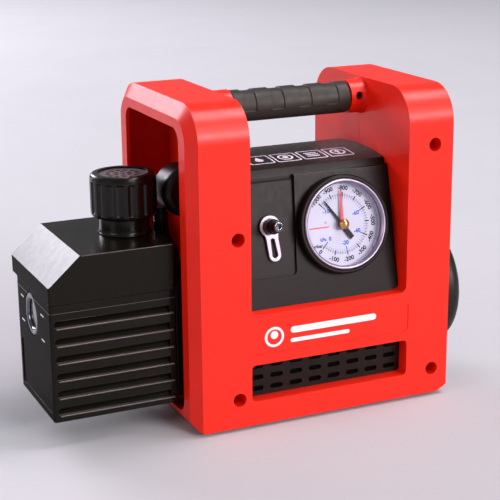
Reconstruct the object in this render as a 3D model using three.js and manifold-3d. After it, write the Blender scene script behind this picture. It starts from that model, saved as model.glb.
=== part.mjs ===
// Portable rotary vane vacuum pump in a red two-shell carrying frame.
// Millimetres, +Z up, +X towards the motor's fan, -Y towards the gauge side, floor at Z = 0.
import * as THREE from "three";
import { mergeVertices } from "three/addons/utils/BufferGeometryUtils.js";
import Module from "manifold-3d";

const wasm = await Module();
wasm.setup();

// ---------------------------------------------------------------- driving dimensions
// Heights are counted from the underside of the shells, which stand FOOT_PROUD above the floor.
const FOOT_PROUD = 3;
const GAP = 0.3; // clearance left between neighbouring pieces
const HALF_PARTING = 0.15; // half the joint line between the two shells

// carrying frame
const FRAME_LEFT = -77.5;
const FRAME_RIGHT = 153.5;
const FRAME_HALF_DEPTH = 81;
const FRAME_HEIGHT = 254;
const BAY_LEFT = -29.5; // inner face of the left post
const BAY_RIGHT = 107; // inner face of the right post
const SILL_HEIGHT = 90.3;
const WALL = 3;
const TOP_CORNER = 29; // rounding of the posts' tops, seen from the end
const FOOT_CORNER = 10; // rounding of the frame's lower outer corners
const END_BEVEL_LENGTH = 6.5;
const END_BEVEL_INSET = 11;
const END_OPENING = { half: 58, bottom: 10, top: 235.5, corner: 11 };
const VENT = { left: -29.5, right: 108.5, bottom: 19.5, top: 49.5, corner: 3.5, depth: 12 };
const LABEL = { left: -29, right: 109.5, bottom: 57.5, top: 83, corner: 4, depth: 0.8 };
const SHELL_SCREWS = [
  [-40, 151.7],
  [-40, 23],
  [130.5, 209],
  [132.5, 21],
];
const FOOT_PLACES = [
  [-57, -60],
  [-57, 60],
  [132, -60],
  [132, 60],
];
const FOOT_STEM = 2.9;
const SCREW_HOLE_RADIUS = 5.5;
const SCREW_HOLE_DEPTH = 31;
const SCREW_BOSS_RADIUS = 8;
const SCREW_POST_RADIUS = 4.5;
const SCREW_THREAD_RADIUS = 2.6;
const SCREW_THREAD_END = 30; // y where the screws' threaded holes end

// carrying handle
const HANDLE_HEIGHT = 238;
const GRIP_RADIUS = 13;
const COLLAR_RADIUS = 13.8;
const LEFT_COLLAR = 17.2;
const RIGHT_COLLAR = 14.5;
const TUBE_RADIUS = 8;

// motor cover and its leaning front panel
const PANEL_LEAN = Math.atan(0.22);
const PANEL_FOOT = -69.5; // y of the panel at sill height
const COVER_FLOOR = 84;
const COVER_SHOULDER = 194;
const COVER_CROWN = 197.7;
const COVER_WALL = 4;
const POCKET = { right: 21, bottom: 113, depth: 2, corner: 6 };

// vacuum gauge, on the panel
const GAUGE_X = 59.9;
const GAUGE_HEIGHT = 147.1;
const COLLAR = { radius: 40.6, proud: 8, depth: 22 };
const BEZEL_RADIUS = 36;
const DIAL_RADIUS = 33.8;
const NEEDLE_ANGLE = THREE.MathUtils.degToRad(125);
const SET_POINTER_ANGLE = THREE.MathUtils.degToRad(87);

// isolating valve, on the panel
const VALVE_X = -2;
const VALVE_HEIGHT = 152;
const LEVER_LENGTH = 27.6;
const LEVER_EYE_RADIUS = 8.5;

// drive line
const AXIS_HEIGHT = 69;
const MOTOR_RADIUS = 49;
const MOTOR_WAY = MOTOR_RADIUS + 2.5; // radius of the way for it through the walls
const SHAFT_RADIUS = 8.3;
const DRIVE_NECK = 41; // where the drive line passes over the lower screw posts
const FAN_COVER = { start: 126.5, step: 138.5, end: 180, radius: 53.5, round: 10 };

// pump and oil case
const CASE = { left: -180, right: -80.1, front: -52, back: 39, bottom: 18.5, top: 110.8 };
const COVER_BASE = 111.1;
const COVER_TOP = 147;
const COVER_SLOPE = { run: 25.2, drop: 22.4 };
const CASE_WALL = 3.5;
const GROOVES = { count: 6, first: 95.5, pitch: 13.85, left: -177, right: -85.5 };
const SIGHT = { height: 90, radius: 17, recess: 2.4 };
const EXHAUST_X = -101.5;
const EXHAUST_CAP = { bottom: 160.5, top: 194.5, radius: 26, bore: 15.8 };
const ROTOR_RADIUS = 20.5;
const STATOR_RADIUS = 31;
const STATOR_BORE = 24;
const ECCENTRICITY = 3.2;
const VANE = { thickness: 4, root: 11, tip: 20.3 };

// intake
const INTAKE = { x: -53.2, height: 175.5, radius: 20.2, half: 15.5 };
const RISER_X = -71;
const RISER_TOP = 152.5;
const LINE_RADIUS = 2.8; // of the copper line from the intake to the valve
const LINE_WAY = 5; // radius of its way through the post and the cover

// ---------------------------------------------------------------- materials
const finish = (color, roughness, metalness) =>
  new THREE.MeshStandardMaterial({ color, roughness, metalness });
const RED = () => finish(0xe8321f, 0.42, 0);
const BLACK_PLASTIC = () => finish(0x2e2926, 0.5, 0);
const BLACK_PAINT = () => finish(0x241f1a, 0.4, 0.3);
const RUBBER = () => finish(0x26231f, 0.8, 0);
const CHROME = () => finish(0xd8d8dc, 0.15, 1);
const STEEL = () => finish(0x9a9a9e, 0.35, 1);
const ALUMINIUM = () => finish(0xb4b6b8, 0.45, 1);
const BRASS = () => finish(0xc9a24a, 0.3, 1);
const COPPER = () => finish(0xb8734a, 0.35, 1);

// ---------------------------------------------------------------- solid helpers
function solid(geometry) {
  const bare = geometry.index ? geometry.toNonIndexed() : geometry.clone();
  bare.deleteAttribute("normal");
  bare.deleteAttribute("uv");
  const merged = mergeVertices(bare, 1e-4);
  const mesh = new wasm.Mesh({
    numProp: 3,
    vertProperties: merged.attributes.position.array,
    triVerts: new Uint32Array(merged.index.array),
  });
  return new wasm.Manifold(mesh);
}

function geometryOf(manifold) {
  const mesh = manifold.getMesh();
  const indexed = new THREE.BufferGeometry();
  indexed.setAttribute("position", new THREE.BufferAttribute(mesh.vertProperties, 3));
  indexed.setIndex(new THREE.BufferAttribute(mesh.triVerts, 1));
  const flat = indexed.toNonIndexed();
  flat.computeVertexNormals();
  return flat;
}

function join(...geometries) {
  return geometryOf(geometries.map(solid).reduce((whole, next) => whole.add(next)));
}

function cut(base, ...tools) {
  return geometryOf(tools.map(solid).reduce((left, tool) => left.subtract(tool), solid(base)));
}

function common(a, b) {
  return geometryOf(solid(a).intersect(solid(b)));
}

function box(x0, x1, y0, y1, z0, z1) {
  const made = new THREE.BoxGeometry(x1 - x0, y1 - y0, z1 - z0);
  return made.translate((x0 + x1) / 2, (y0 + y1) / 2, (z0 + z1) / 2);
}

// A rod between two stations of one axis; the other two numbers are its place across that axis.
function rodX(x0, x1, y, z, radius, sides = 24) {
  const made = new THREE.CylinderGeometry(radius, radius, x1 - x0, sides);
  return made.rotateZ(Math.PI / 2).translate((x0 + x1) / 2, y, z);
}

function rodY(y0, y1, x, z, radius, sides = 16) {
  const made = new THREE.CylinderGeometry(radius, radius, y1 - y0, sides);
  return made.translate(x, (y0 + y1) / 2, z);
}

function rodZ(z0, z1, x, y, radius, sides = 16) {
  const made = new THREE.CylinderGeometry(radius, radius, z1 - z0, sides);
  return made.rotateX(Math.PI / 2).translate(x, y, (z0 + z1) / 2);
}

// A body of revolution about Z from [radius, height] pairs, turned right side out.
function turned(profile, sides = 20) {
  const points = profile.map(([radius, height]) => new THREE.Vector2(radius, height));
  const lathe = new THREE.LatheGeometry(points, sides).rotateX(Math.PI / 2);
  if (solid(lathe).volume() > 0) return lathe;
  points.reverse();
  return new THREE.LatheGeometry(points, sides).rotateX(Math.PI / 2);
}

// The same about X: heights of the profile become stations along X.
function turnedX(profile, sides = 24) {
  return turned(profile, sides).rotateY(Math.PI / 2);
}

// A closed ring between two radii, from one height to the next.
function ring(inner, outer, z0, z1, sides = 20) {
  const corners = [
    [inner, z0],
    [outer, z0],
    [outer, z1],
    [inner, z1],
    [inner, z0],
  ];
  return turned(corners, sides);
}

function roundedRectangle(left, right, bottom, top, radius) {
  const shape = new THREE.Shape();
  shape.moveTo(left + radius, bottom);
  shape.lineTo(right - radius, bottom);
  shape.absarc(right - radius, bottom + radius, radius, -Math.PI / 2, 0);
  shape.absarc(right - radius, top - radius, radius, 0, Math.PI / 2);
  shape.absarc(left + radius, top - radius, radius, Math.PI / 2, Math.PI);
  shape.absarc(left + radius, bottom + radius, radius, Math.PI, 1.5 * Math.PI);
  return shape;
}

function polygon(points) {
  return new THREE.Shape(points.map(([a, b]) => new THREE.Vector2(a, b)));
}

// Extrusions of a shape: its first axis and second axis lie on the two axes left over.
function extrudeZ(shape, z0, z1, options = {}) {
  const settings = { depth: z1 - z0, bevelEnabled: false, curveSegments: 3, ...options };
  return new THREE.ExtrudeGeometry(shape, settings).translate(0, 0, z0);
}

const ZXY = new THREE.Matrix4().set(0, 0, 1, 0, 1, 0, 0, 0, 0, 1, 0, 0, 0, 0, 0, 1);
function extrudeX(shape, x0, x1, options = {}) {
  return extrudeZ(shape, x0, x1, options).applyMatrix4(ZXY);
}

function extrudeY(shape, y0, y1, options = {}) {
  return extrudeZ(shape, -y1, -y0, options).rotateX(Math.PI / 2);
}

// A round tube along a smooth curve through the given points.
function tube(points, radius, steps, sides = 10) {
  const curve = new THREE.CatmullRomCurve3(points.map((p) => new THREE.Vector3(...p)));
  const section = new THREE.Shape().absarc(0, 0, radius, 0, 2 * Math.PI);
  const settings = { steps, extrudePath: curve, curveSegments: sides, bevelEnabled: false };
  return new THREE.ExtrudeGeometry(section, settings);
}

// ---------------------------------------------------------------- assembly
const pump = new THREE.Group();
const chassis = new THREE.Group(); // everything, lifted to the height of the feet
chassis.position.z = FOOT_PROUD;
pump.add(chassis);

// Groups on the leaning panel: local Z points out of it, local Y runs up it.
const panelY = (height) => PANEL_FOOT + Math.tan(PANEL_LEAN) * (height - SILL_HEIGHT);
function panelGroup(x, height) {
  const group = new THREE.Group();
  group.position.set(x, panelY(height), height);
  group.rotation.x = Math.PI / 2 - PANEL_LEAN;
  chassis.add(group);
  return group;
}
const gauge = panelGroup(GAUGE_X, GAUGE_HEIGHT);
const valve = panelGroup(VALVE_X, VALVE_HEIGHT);

function add(name, geometry, material, parent = chassis) {
  const mesh = new THREE.Mesh(geometry, material);
  mesh.name = name;
  parent.add(mesh);
}

// Moves a geometry from a panel group's own frame into the chassis frame.
function onPanel(geometry, group) {
  group.updateMatrix();
  return geometry.clone().applyMatrix4(group.matrix);
}

// ---------------------------------------------------------------- carrying frame
// The frame's block, or its inside when inset by the wall: an end view crossed with a front view.
function frameBlock(inset) {
  const below = -60; // the end view runs on below the frame, and the front view cuts it off
  const half = FRAME_HALF_DEPTH - inset - END_BEVEL_INSET;
  const top = FRAME_HEIGHT - inset - END_BEVEL_INSET;
  const corner = TOP_CORNER - inset - END_BEVEL_INSET;
  const endView = roundedRectangle(-half, half, below, top, corner);
  const long = extrudeX(
    endView,
    FRAME_LEFT + inset + END_BEVEL_LENGTH,
    FRAME_RIGHT - inset - END_BEVEL_LENGTH,
    {
      bevelEnabled: true,
      bevelThickness: END_BEVEL_LENGTH,
      bevelSize: END_BEVEL_INSET,
      bevelSegments: 1,
      curveSegments: 5,
    },
  );
  const left = FRAME_LEFT + inset;
  const right = FRAME_RIGHT - inset;
  const bayLeft = BAY_LEFT - inset;
  const bayRight = BAY_RIGHT + inset;
  const sill = SILL_HEIGHT - inset;
  const footCorner = FOOT_CORNER - inset;
  const above = FRAME_HEIGHT + 20;
  const fillet = 3;
  const frontView = new THREE.Shape();
  frontView.moveTo(left + footCorner, inset);
  frontView.lineTo(right - footCorner, inset);
  frontView.absarc(right - footCorner, inset + footCorner, footCorner, -Math.PI / 2, 0);
  frontView.lineTo(right, above);
  frontView.lineTo(bayRight, above);
  frontView.absarc(bayRight - fillet, sill + fillet, fillet, 0, -Math.PI / 2, true);
  frontView.absarc(bayLeft + fillet, sill + fillet, fillet, -Math.PI / 2, -Math.PI, true);
  frontView.lineTo(bayLeft, above);
  frontView.lineTo(left, above);
  frontView.absarc(left + footCorner, inset + footCorner, footCorner, Math.PI, 1.5 * Math.PI);
  const across = FRAME_HALF_DEPTH + 1;
  return common(long, extrudeY(frontView, -across, across, { curveSegments: 3 }));
}

function carryingFrame() {
  const openings = [];
  const { half, bottom, top, corner } = END_OPENING;
  const endShape = roundedRectangle(-half, half, bottom, top, corner);
  openings.push(extrudeX(endShape, FRAME_LEFT - 1, FRAME_LEFT + 2 * WALL));
  openings.push(extrudeX(endShape, FRAME_RIGHT - 2 * WALL, FRAME_RIGHT + 1));
  // the bay floor, where the motor cover stands, and the way through both posts for the motor
  const bayHalf = -PANEL_FOOT + 1;
  openings.push(box(BAY_LEFT, BAY_RIGHT, -bayHalf, bayHalf, SILL_HEIGHT - 10, SILL_HEIGHT + 4));
  openings.push(rodX(BAY_LEFT - 5, BAY_LEFT + 2, 0, AXIS_HEIGHT, MOTOR_WAY));
  openings.push(rodX(BAY_RIGHT - 2, BAY_RIGHT + 5, 0, AXIS_HEIGHT, MOTOR_WAY));
  openings.push(rodX(BAY_LEFT - 5, BAY_LEFT + 2, 0, INTAKE.height, LINE_WAY, 12));

  const ventInside = roundedRectangle(VENT.left, VENT.right, VENT.bottom, VENT.top, VENT.corner);
  const rim = 2.5;
  const ventOutside = roundedRectangle(
    VENT.left - rim,
    VENT.right + rim,
    VENT.bottom - rim,
    VENT.top + rim,
    VENT.corner + rim,
  );
  const face = FRAME_HALF_DEPTH;
  const ventDepth = VENT.depth - GAP;
  const additions = [
    extrudeY(ventOutside, -face + 1, -face + ventDepth),
    extrudeY(ventOutside, face - ventDepth, face - 1),
    rodX(BAY_LEFT - 1, BAY_LEFT + LEFT_COLLAR, 0, HANDLE_HEIGHT, COLLAR_RADIUS),
    rodX(BAY_RIGHT - RIGHT_COLLAR, BAY_RIGHT + 1, 0, HANDLE_HEIGHT, COLLAR_RADIUS),
  ];
  openings.push(extrudeY(ventInside, -face - 1, -face + VENT.depth + 1));
  openings.push(extrudeY(ventInside, face - VENT.depth - 1, face + 1));
  const label = roundedRectangle(LABEL.left, LABEL.right, LABEL.bottom, LABEL.top, LABEL.corner);
  openings.push(extrudeY(label, -face - 1, -face + LABEL.depth));
  const tubeWay = TUBE_RADIUS + GAP;
  openings.push(rodX(BAY_LEFT - 5, BAY_LEFT + LEFT_COLLAR + 1, 0, HANDLE_HEIGHT, tubeWay));
  openings.push(rodX(BAY_RIGHT - RIGHT_COLLAR - 1, BAY_RIGHT + 5, 0, HANDLE_HEIGHT, tubeWay));
  for (const [x, height] of SHELL_SCREWS) {
    const seat = -face + SCREW_HOLE_DEPTH;
    additions.push(rodY(-face + 1, seat + 5, x, height, SCREW_BOSS_RADIUS, 14));
    additions.push(rodY(seat + 4, face - 1, x, height, SCREW_POST_RADIUS, 10));
    openings.push(rodY(-face - 1, seat, x, height, SCREW_HOLE_RADIUS, 20));
    openings.push(rodY(seat - 1, SCREW_THREAD_END, x, height, SCREW_THREAD_RADIUS, 8));
  }
  for (const [x, y] of FOOT_PLACES) openings.push(rodZ(-1, WALL + 1, x, y, FOOT_STEM + GAP, 12));
  const walls = cut(frameBlock(0), frameBlock(WALL));
  return cut(join(walls, ...additions), ...openings);
}

function addShells() {
  const frame = carryingFrame();
  const far = 200;
  const front = box(-far, far, -far, -HALF_PARTING, -far, 2 * far);
  const back = box(-far, far, HALF_PARTING, far, -far, 2 * far);
  add("front_shell", common(frame, front), RED());
  add("back_shell", common(frame, back), RED());
}

// A slotted grille plate that lies behind a vent window.
function grille() {
  const plate = roundedRectangle(VENT.left - 2, VENT.right + 2, VENT.bottom - 2, VENT.top + 2, 3);
  const columns = 8;
  const rows = 3;
  const pitchX = 17;
  const pitchZ = 9.3;
  const halfLength = 5.6;
  const halfHeight = 2;
  const middleX = (VENT.left + VENT.right) / 2;
  const middleZ = (VENT.bottom + VENT.top) / 2;
  for (let column = 0; column < columns; column++) {
    for (let row = 0; row < rows; row++) {
      const x = middleX + (column - (columns - 1) / 2) * pitchX;
      const z = middleZ + (row - (rows - 1) / 2) * pitchZ;
      const slot = new THREE.Path();
      const straight = halfLength - halfHeight;
      slot.absarc(x + straight, z, halfHeight, -Math.PI / 2, Math.PI / 2);
      slot.absarc(x - straight, z, halfHeight, Math.PI / 2, 1.5 * Math.PI);
      plate.holes.push(slot);
    }
  }
  return plate;
}

function addGrilles() {
  const near = FRAME_HALF_DEPTH - VENT.depth;
  const thick = 2.4;
  const coarse = { curveSegments: 1 };
  add("front_grille", extrudeY(grille(), -near, -near + thick, coarse), BLACK_PLASTIC());
  add("back_grille", extrudeY(grille(), near - thick, near, coarse), BLACK_PLASTIC());
}

function addFeet() {
  const foot = [
    [0, -FOOT_PROUD],
    [9, -FOOT_PROUD],
    [10, -FOOT_PROUD + 0.8],
    [10.5, -GAP],
    [FOOT_STEM, -GAP],
    [FOOT_STEM, WALL + GAP],
    [FOOT_STEM + 1.1, WALL + GAP],
    [FOOT_STEM - 0.5, WALL + 4],
    [0, WALL + 4],
  ];
  const names = ["left_front_foot", "left_back_foot", "right_front_foot", "right_back_foot"];
  FOOT_PLACES.forEach(([x, y], i) => add(names[i], turned(foot, 12).translate(x, y, 0), RUBBER()));
}

// ---------------------------------------------------------------- carrying handle
function addHandle() {
  const bar = TUBE_RADIUS;
  const left = BAY_LEFT - 14;
  const right = BAY_RIGHT + 14;
  const pipe = ring(bar - 1.5, bar, left, right, 20).rotateY(Math.PI / 2);
  add("handle_tube", pipe.translate(0, 0, HANDLE_HEIGHT), STEEL());

  const start = BAY_LEFT + LEFT_COLLAR + GAP;
  const end = BAY_RIGHT - RIGHT_COLLAR - GAP;
  const bore = bar + GAP;
  const waist = GRIP_RADIUS - 1;
  const profile = [
    [bore, start],
    [waist, start],
    [GRIP_RADIUS, start + 1.5],
  ];
  profile.push([GRIP_RADIUS, end - 1.5], [waist, end], [bore, end], [bore, start]);
  add("handle_grip", turnedX(profile, 24).translate(0, 0, HANDLE_HEIGHT), RUBBER());
}

// ---------------------------------------------------------------- motor cover
function coverProfile(inset, floor) {
  const lean = (height) => panelY(height) + inset;
  const shoulder = COVER_SHOULDER - inset;
  const crown = COVER_CROWN - inset;
  const shoulderY = 41 - inset / 2;
  const rise = crown - shoulder;
  const archRadius = (shoulderY ** 2 + rise ** 2) / (2 * rise);
  const archHalf = Math.asin(shoulderY / archRadius);
  const side = inset
    ? [
        [lean(floor), floor],
        [lean(184), 184],
      ]
    : [
        [lean(floor), floor],
        [lean(188.2), 188.2],
        [-46.7, 189.7],
        [-45.3, 189.7],
        [-44.6, 188.4],
        [-43.4, 188.9],
      ];
  const shape = new THREE.Shape();
  shape.moveTo(...side[0]);
  side.slice(1).forEach(([y, z]) => shape.lineTo(y, z));
  const start = Math.PI / 2 + archHalf;
  const end = Math.PI / 2 - archHalf;
  shape.absarc(0, crown - archRadius, archRadius, start, end, true);
  [...side].reverse().forEach(([y, z]) => shape.lineTo(-y, z));
  return shape;
}

function addMotorCover() {
  const left = BAY_LEFT + GAP;
  const right = BAY_RIGHT - GAP;
  const end = 3;
  const body = extrudeX(coverProfile(0, COVER_FLOOR), left, right, { curveSegments: 5 });
  const hollow = extrudeX(coverProfile(COVER_WALL, COVER_FLOOR - 1), left + end, right - end, {
    curveSegments: 4,
  });
  const up = (height) => (height - GAUGE_HEIGHT) / Math.cos(PANEL_LEAN);
  const pocket = roundedRectangle(
    BAY_LEFT - 20 - GAUGE_X,
    POCKET.right - GAUGE_X,
    up(POCKET.bottom),
    up(COVER_SHOULDER),
    POCKET.corner,
  );
  const cover = cut(
    body,
    hollow,
    onPanel(extrudeZ(pocket, -POCKET.depth, 10), gauge),
    onPanel(rodZ(-10, 10, 0, 0, COLLAR.radius - 1.2, 48), gauge),
    onPanel(rodZ(-12, 10, 0, 0, LEVER_EYE_RADIUS + 1, 24), valve),
    rodX(left - 1, right + 1, 0, AXIS_HEIGHT, MOTOR_WAY),
    rodX(left - 1, left + end + 1, 0, INTAKE.height, LINE_WAY, 12),
  );
  add("motor_cover", cover, BLACK_PLASTIC());
}

// ---------------------------------------------------------------- vacuum gauge
// A pointer along local +X: a slim blade, a round hub with a hole, and a tail.
function pointer(length, root, tip, tail, tailHalf, hub, hole) {
  const shape = new THREE.Shape();
  const rootAngle = Math.asin(root / hub);
  const tailAngle = Math.asin(tailHalf / (hub + 0.4));
  shape.moveTo(length, -tip);
  shape.lineTo(length, tip);
  shape.absarc(0, 0, hub, rootAngle, Math.PI - tailAngle);
  shape.lineTo(-tail, tailHalf);
  shape.lineTo(-tail, -tailHalf);
  shape.absarc(0, 0, hub, Math.PI + tailAngle, 2 * Math.PI - rootAngle);
  shape.holes.push(new THREE.Path().absarc(0, 0, hole, 0, 2 * Math.PI));
  return shape;
}

function addGauge() {
  const { radius, proud, depth } = COLLAR;
  const seat = 5.5;
  const bore = DIAL_RADIUS + 0.4;
  const opening = DIAL_RADIUS - 1;
  const caseProfile = [
    [0, -depth],
    [radius - 1.6, -depth],
    [radius - 1.6, GAP],
    [radius, GAP],
    [radius, proud - 1],
    [radius - 1, proud],
    [BEZEL_RADIUS + GAP, proud],
    [BEZEL_RADIUS + GAP, seat],
    [bore, seat],
    [bore, -depth + 2],
    [0, -depth + 2],
  ];
  const stem = rodZ(-depth - 12, -depth + 1, 0, -15, 5, 16);
  const bowl = join(turned(caseProfile, 24), stem);
  add("gauge_case", cut(bowl, rodZ(-depth - 13, -depth + 3, 0, -15, 2.8, 10)), BLACK_PLASTIC(), gauge);
  const bezelProfile = [
    [opening, seat + GAP],
    [BEZEL_RADIUS, seat + GAP],
    [BEZEL_RADIUS, proud + 0.4],
    [BEZEL_RADIUS - 0.8, proud + 1.2],
    [opening + 0.8, proud + 0.8],
    [opening, proud - 0.6],
    [opening, seat + GAP],
  ];
  add("gauge_bezel", turned(bezelProfile, 24), CHROME(), gauge);
  const lens = ring(2.3, DIAL_RADIUS, seat - 2.1, seat - GAP, 24);
  const glass = finish(0xf4f8fa, 0.05, 0);
  glass.transparent = true;
  glass.opacity = 0.25;
  add("gauge_lens", lens, glass, gauge);
  const dial = cut(ring(1.4, DIAL_RADIUS, -1, -0.2, 24), rodZ(-2, 1, -13.5, 2.5, 0.9, 8));
  add("gauge_dial", dial, finish(0xf5f5f8, 0.6, 0), gauge);

  const needle = pointer(23.4, 1.3, 0.25, 14.5, 1.9, 3.4, 1.2);
  const needleSolid = extrudeZ(needle, 1, 1.6).rotateZ(NEEDLE_ANGLE);
  add("gauge_needle", needleSolid, finish(0x111111, 0.5, 0), gauge);
  const marker = pointer(27, 1.2, 0.35, 4.2, 0.9, 3.2, 1.5);
  const markerSolid = extrudeZ(marker, 2, 2.5).rotateZ(SET_POINTER_ANGLE);
  add("set_pointer", markerSolid, finish(0xe02418, 0.45, 0), gauge);
  const knobProfile = [
    [0, 1.9],
    [1.2, 1.9],
    [1.2, 2.8],
    [2, 2.8],
    [2, seat],
    [5.5, seat],
    [5.5, seat + 1.6],
    [4.4, seat + 3.2],
    [2.4, seat + 4],
    [0, seat + 4.2],
  ];
  add("pointer_knob", turned(knobProfile, 18), BRASS(), gauge);

  const movement = join(
    box(-9, 9, -8, 8, -9, -3),
    rodZ(-4, 0.7, 0, 0, 1, 8),
    box(-4, 4, -19, -7, -14, -5),
    box(-4, 4, -20.4, -9.6, -depth + 2 + GAP, -13),
  );
  add("gauge_movement", cut(movement, rodZ(-depth, -12, 0, -15, 1.5, 8)), BRASS(), gauge);
  const coil = [];
  const coilRadius = 25;
  const turnSteps = 11;
  for (let i = 0; i <= turnSteps; i++) {
    const angle = -1.15 + (i / turnSteps) * 4.3;
    coil.push([coilRadius * Math.cos(angle), coilRadius * Math.sin(angle), -11]);
  }
  add("bourdon_tube", tube(coil, 2.2, 14, 3), BRASS(), gauge);

  const line = [
    [VALVE_X - GAUGE_X + 12.5, 4.5, -17],
    [VALVE_X - GAUGE_X + 14.5, 4.5, -17],
    [-44, 1, -24],
    [-25, -8, -37],
    [-8, -14, -44],
    [-1, -15.4, -41],
    [0, -15, -depth - 12.4],
  ];
  add("gauge_tube", tube(line, 2.4, 16, 4), COPPER(), gauge);
}

// ---------------------------------------------------------------- isolating valve
function addValve() {
  const face = -POCKET.depth;
  const block = box(-12, 12, -12, 12, -28, -7);
  const spindleWay = rodZ(-18, -6, 0, 0, 2.8, 12);
  const gaugeWay = rodX(3, 13, 0, -17, 1.8, 10);
  add("valve_body", cut(block, spindleWay, gaugeWay), BRASS(), valve);
  const spindleProfile = [
    [0, -17],
    [2.5, -17],
    [2.5, -6.4],
    [6, -6.4],
    [6, 8],
    [5, 8.6],
    [5, 13],
    [2.2, 13],
    [2.2, 9],
    [0, 9],
  ];
  add("valve_spindle", turned(spindleProfile, 20), BLACK_PLASTIC(), valve);
  const lever = new THREE.Shape();
  const endRadius = 5;
  const reach = LEVER_LENGTH - endRadius;
  lever.absarc(0, 0, LEVER_EYE_RADIUS, -0.25 * Math.PI, 1.25 * Math.PI);
  lever.lineTo(-endRadius, -12.5);
  lever.absarc(0, -reach, endRadius, Math.PI, 2 * Math.PI);
  lever.lineTo(endRadius, -12.5);
  lever.holes.push(new THREE.Path().absarc(0, 0, 6 + GAP, 0, 2 * Math.PI));
  const slot = new THREE.Path();
  slot.absarc(0, -reach, endRadius - 2.4, Math.PI, 2 * Math.PI);
  slot.absarc(0, -10.6, endRadius - 3.1, 0, Math.PI);
  lever.holes.push(slot);
  const plate = extrudeZ(lever, face + 0.6, face + 2.8, { curveSegments: 5 });
  add("valve_lever", plate, CHROME(), valve);
  const head = turned(
    [
      [0, 9.3],
      [1.9, 9.3],
      [1.9, 13.3],
      [4.2, 13.3],
      [4.2, 16.6],
      [3.6, 17.2],
      [0, 17.2],
    ],
    24,
  );
  add("lever_screw", cut(head, rodZ(14.6, 18, 0, 0, 2, 6)), CHROME(), valve);
}

// ---------------------------------------------------------------- intake
function addIntake() {
  const { x, height, radius, half } = INTAKE;
  const drum = turned(
    [
      [0, -half],
      [radius - 6, -half],
      [radius - 1.8, -half + 1.8],
      [radius, -half + 6],
      [radius, half - 7],
      [radius - 2, half - 2],
      [radius - 7, half],
      [0, half],
    ],
    24,
  ).rotateX(-Math.PI / 2);
  const foot = rodZ(RISER_TOP + GAP, EXHAUST_CAP.bottom - 2, RISER_X, 0, 6, 20);
  const neck = rodZ(RISER_TOP + 4, height - 13, RISER_X, 0, 4, 20); // clears the exhaust cap
  const body = join(drum.translate(x, 0, height), foot, neck);
  const socket = rodX(x + 10, x + radius + 2, 0, height, LINE_RADIUS + GAP, 12);
  add("intake_body", cut(body, socket), BLACK_PAINT());

  const fitting = turned(
    [
      [0, half + GAP],
      [8, half + GAP],
      [8, half + 6],
      [5.6, half + 6.6],
      [5.6, half + 15],
      [4.6, half + 16],
      [3, half + 16],
      [3, half + 3],
      [0, half + 3],
    ],
    20,
  ).rotateX(-Math.PI / 2);
  add("intake_fitting", fitting.translate(x, 0, height), BRASS());
  const cap = turned(
    [
      [0, half + 19.5],
      [7.6, half + 19.5],
      [8, half + 18.5],
      [8, half + 7.4],
      [6, half + 7.4],
      [6, half + 16.6],
      [0, half + 16.6],
    ],
    20,
  ).rotateX(-Math.PI / 2);
  add("intake_cap", cap.translate(x, 0, height), BRASS());

  const line = [
    [x + radius + GAP, 0, height],
    [BAY_LEFT + 6, 0, height],
    [-12, -4, height - 3],
    [-3, -14, height - 12],
    [-2, -21, height - 24],
    [-2, panelY(VALVE_HEIGHT) + 29.6, VALVE_HEIGHT - 7],
  ];
  add("intake_tube", tube(line, LINE_RADIUS, 16, 4), COPPER());
}

// ---------------------------------------------------------------- oil case
// A groove across a side of the case: undercut at the top, sloping out to a lip at the bottom.
function groove(height, side) {
  const reach = side < 0 ? CASE.front : CASE.back;
  const profile = [
    [1, 3.4],
    [-5, 3.4],
    [-5, 1.2],
    [-1, -2.6],
    [-1, -3.4],
    [1, -3.4],
  ];
  const points = profile.map(([out, up]) => [reach + side * out, height + up]);
  return extrudeX(polygon(points), GROOVES.left, GROOVES.right);
}

function addOilCase() {
  const { left, right, front, back, bottom, top } = CASE;
  const w = CASE_WALL;
  const tools = [box(left + w, right + 1, front + 2 * w, back - 2 * w, bottom + w, top + 1)];
  for (let i = 0; i < GROOVES.count; i++) {
    for (const side of [-1, 1]) tools.push(groove(GROOVES.first - i * GROOVES.pitch, side));
  }
  const endPanel = roundedRectangle(front + 6, back - 6, bottom + 5, 61, 2);
  tools.push(extrudeX(endPanel, left - 1, left + 0.6));
  tools.push(rodX(left - 1, left + 10, 0, SIGHT.height, SIGHT.radius - 3.5));
  tools.push(rodX(left - 1, left + SIGHT.recess, 0, SIGHT.height, SIGHT.radius + GAP));
  tools.push(rodY(back - 20, back + 1, -112, 30, 5.3, 16));
  tools.push(rodY(back - 20, back + 1, -98, 96, 3.3, 12));
  const body = box(left, right, front, back, bottom, top);
  add("oil_case", cut(body, ...tools), BLACK_PAINT());

  const sightRing = turned(
    [
      [11.5, -2.1],
      [SIGHT.radius, -2.1],
      [SIGHT.radius, -0.9],
      [SIGHT.radius - 2, 0],
      [13, -0.1],
      [11.5, -1.1],
      [11.5, -2.1],
    ],
    24,
  ).rotateY(-Math.PI / 2);
  add("sight_ring", sightRing.translate(left, 0, SIGHT.height), CHROME());
  const glass = finish(0xb8c4b0, 0.05, 0);
  add("sight_glass", rodX(left + 2.7, left + 5, 0, SIGHT.height, 13.2, 24), glass);

  const hex = new THREE.CylinderGeometry(7, 7, 6, 6).translate(-112, back + GAP + 3, 30);
  const plug = join(hex, rodY(back - 6, back + 1, -112, 30, 5, 16));
  add("drain_plug", plug, BRASS());
  const knob = turned(
    [
      [0, -7],
      [3, -7],
      [3, GAP],
      [8.5, GAP],
      [9, 1.2],
      [9, 9],
      [8, 10.5],
      [0, 10.5],
    ],
    20,
  ).rotateX(-Math.PI / 2);
  add("ballast_knob", knob.translate(-98, back, 96), BLACK_PLASTIC());
}

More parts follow.
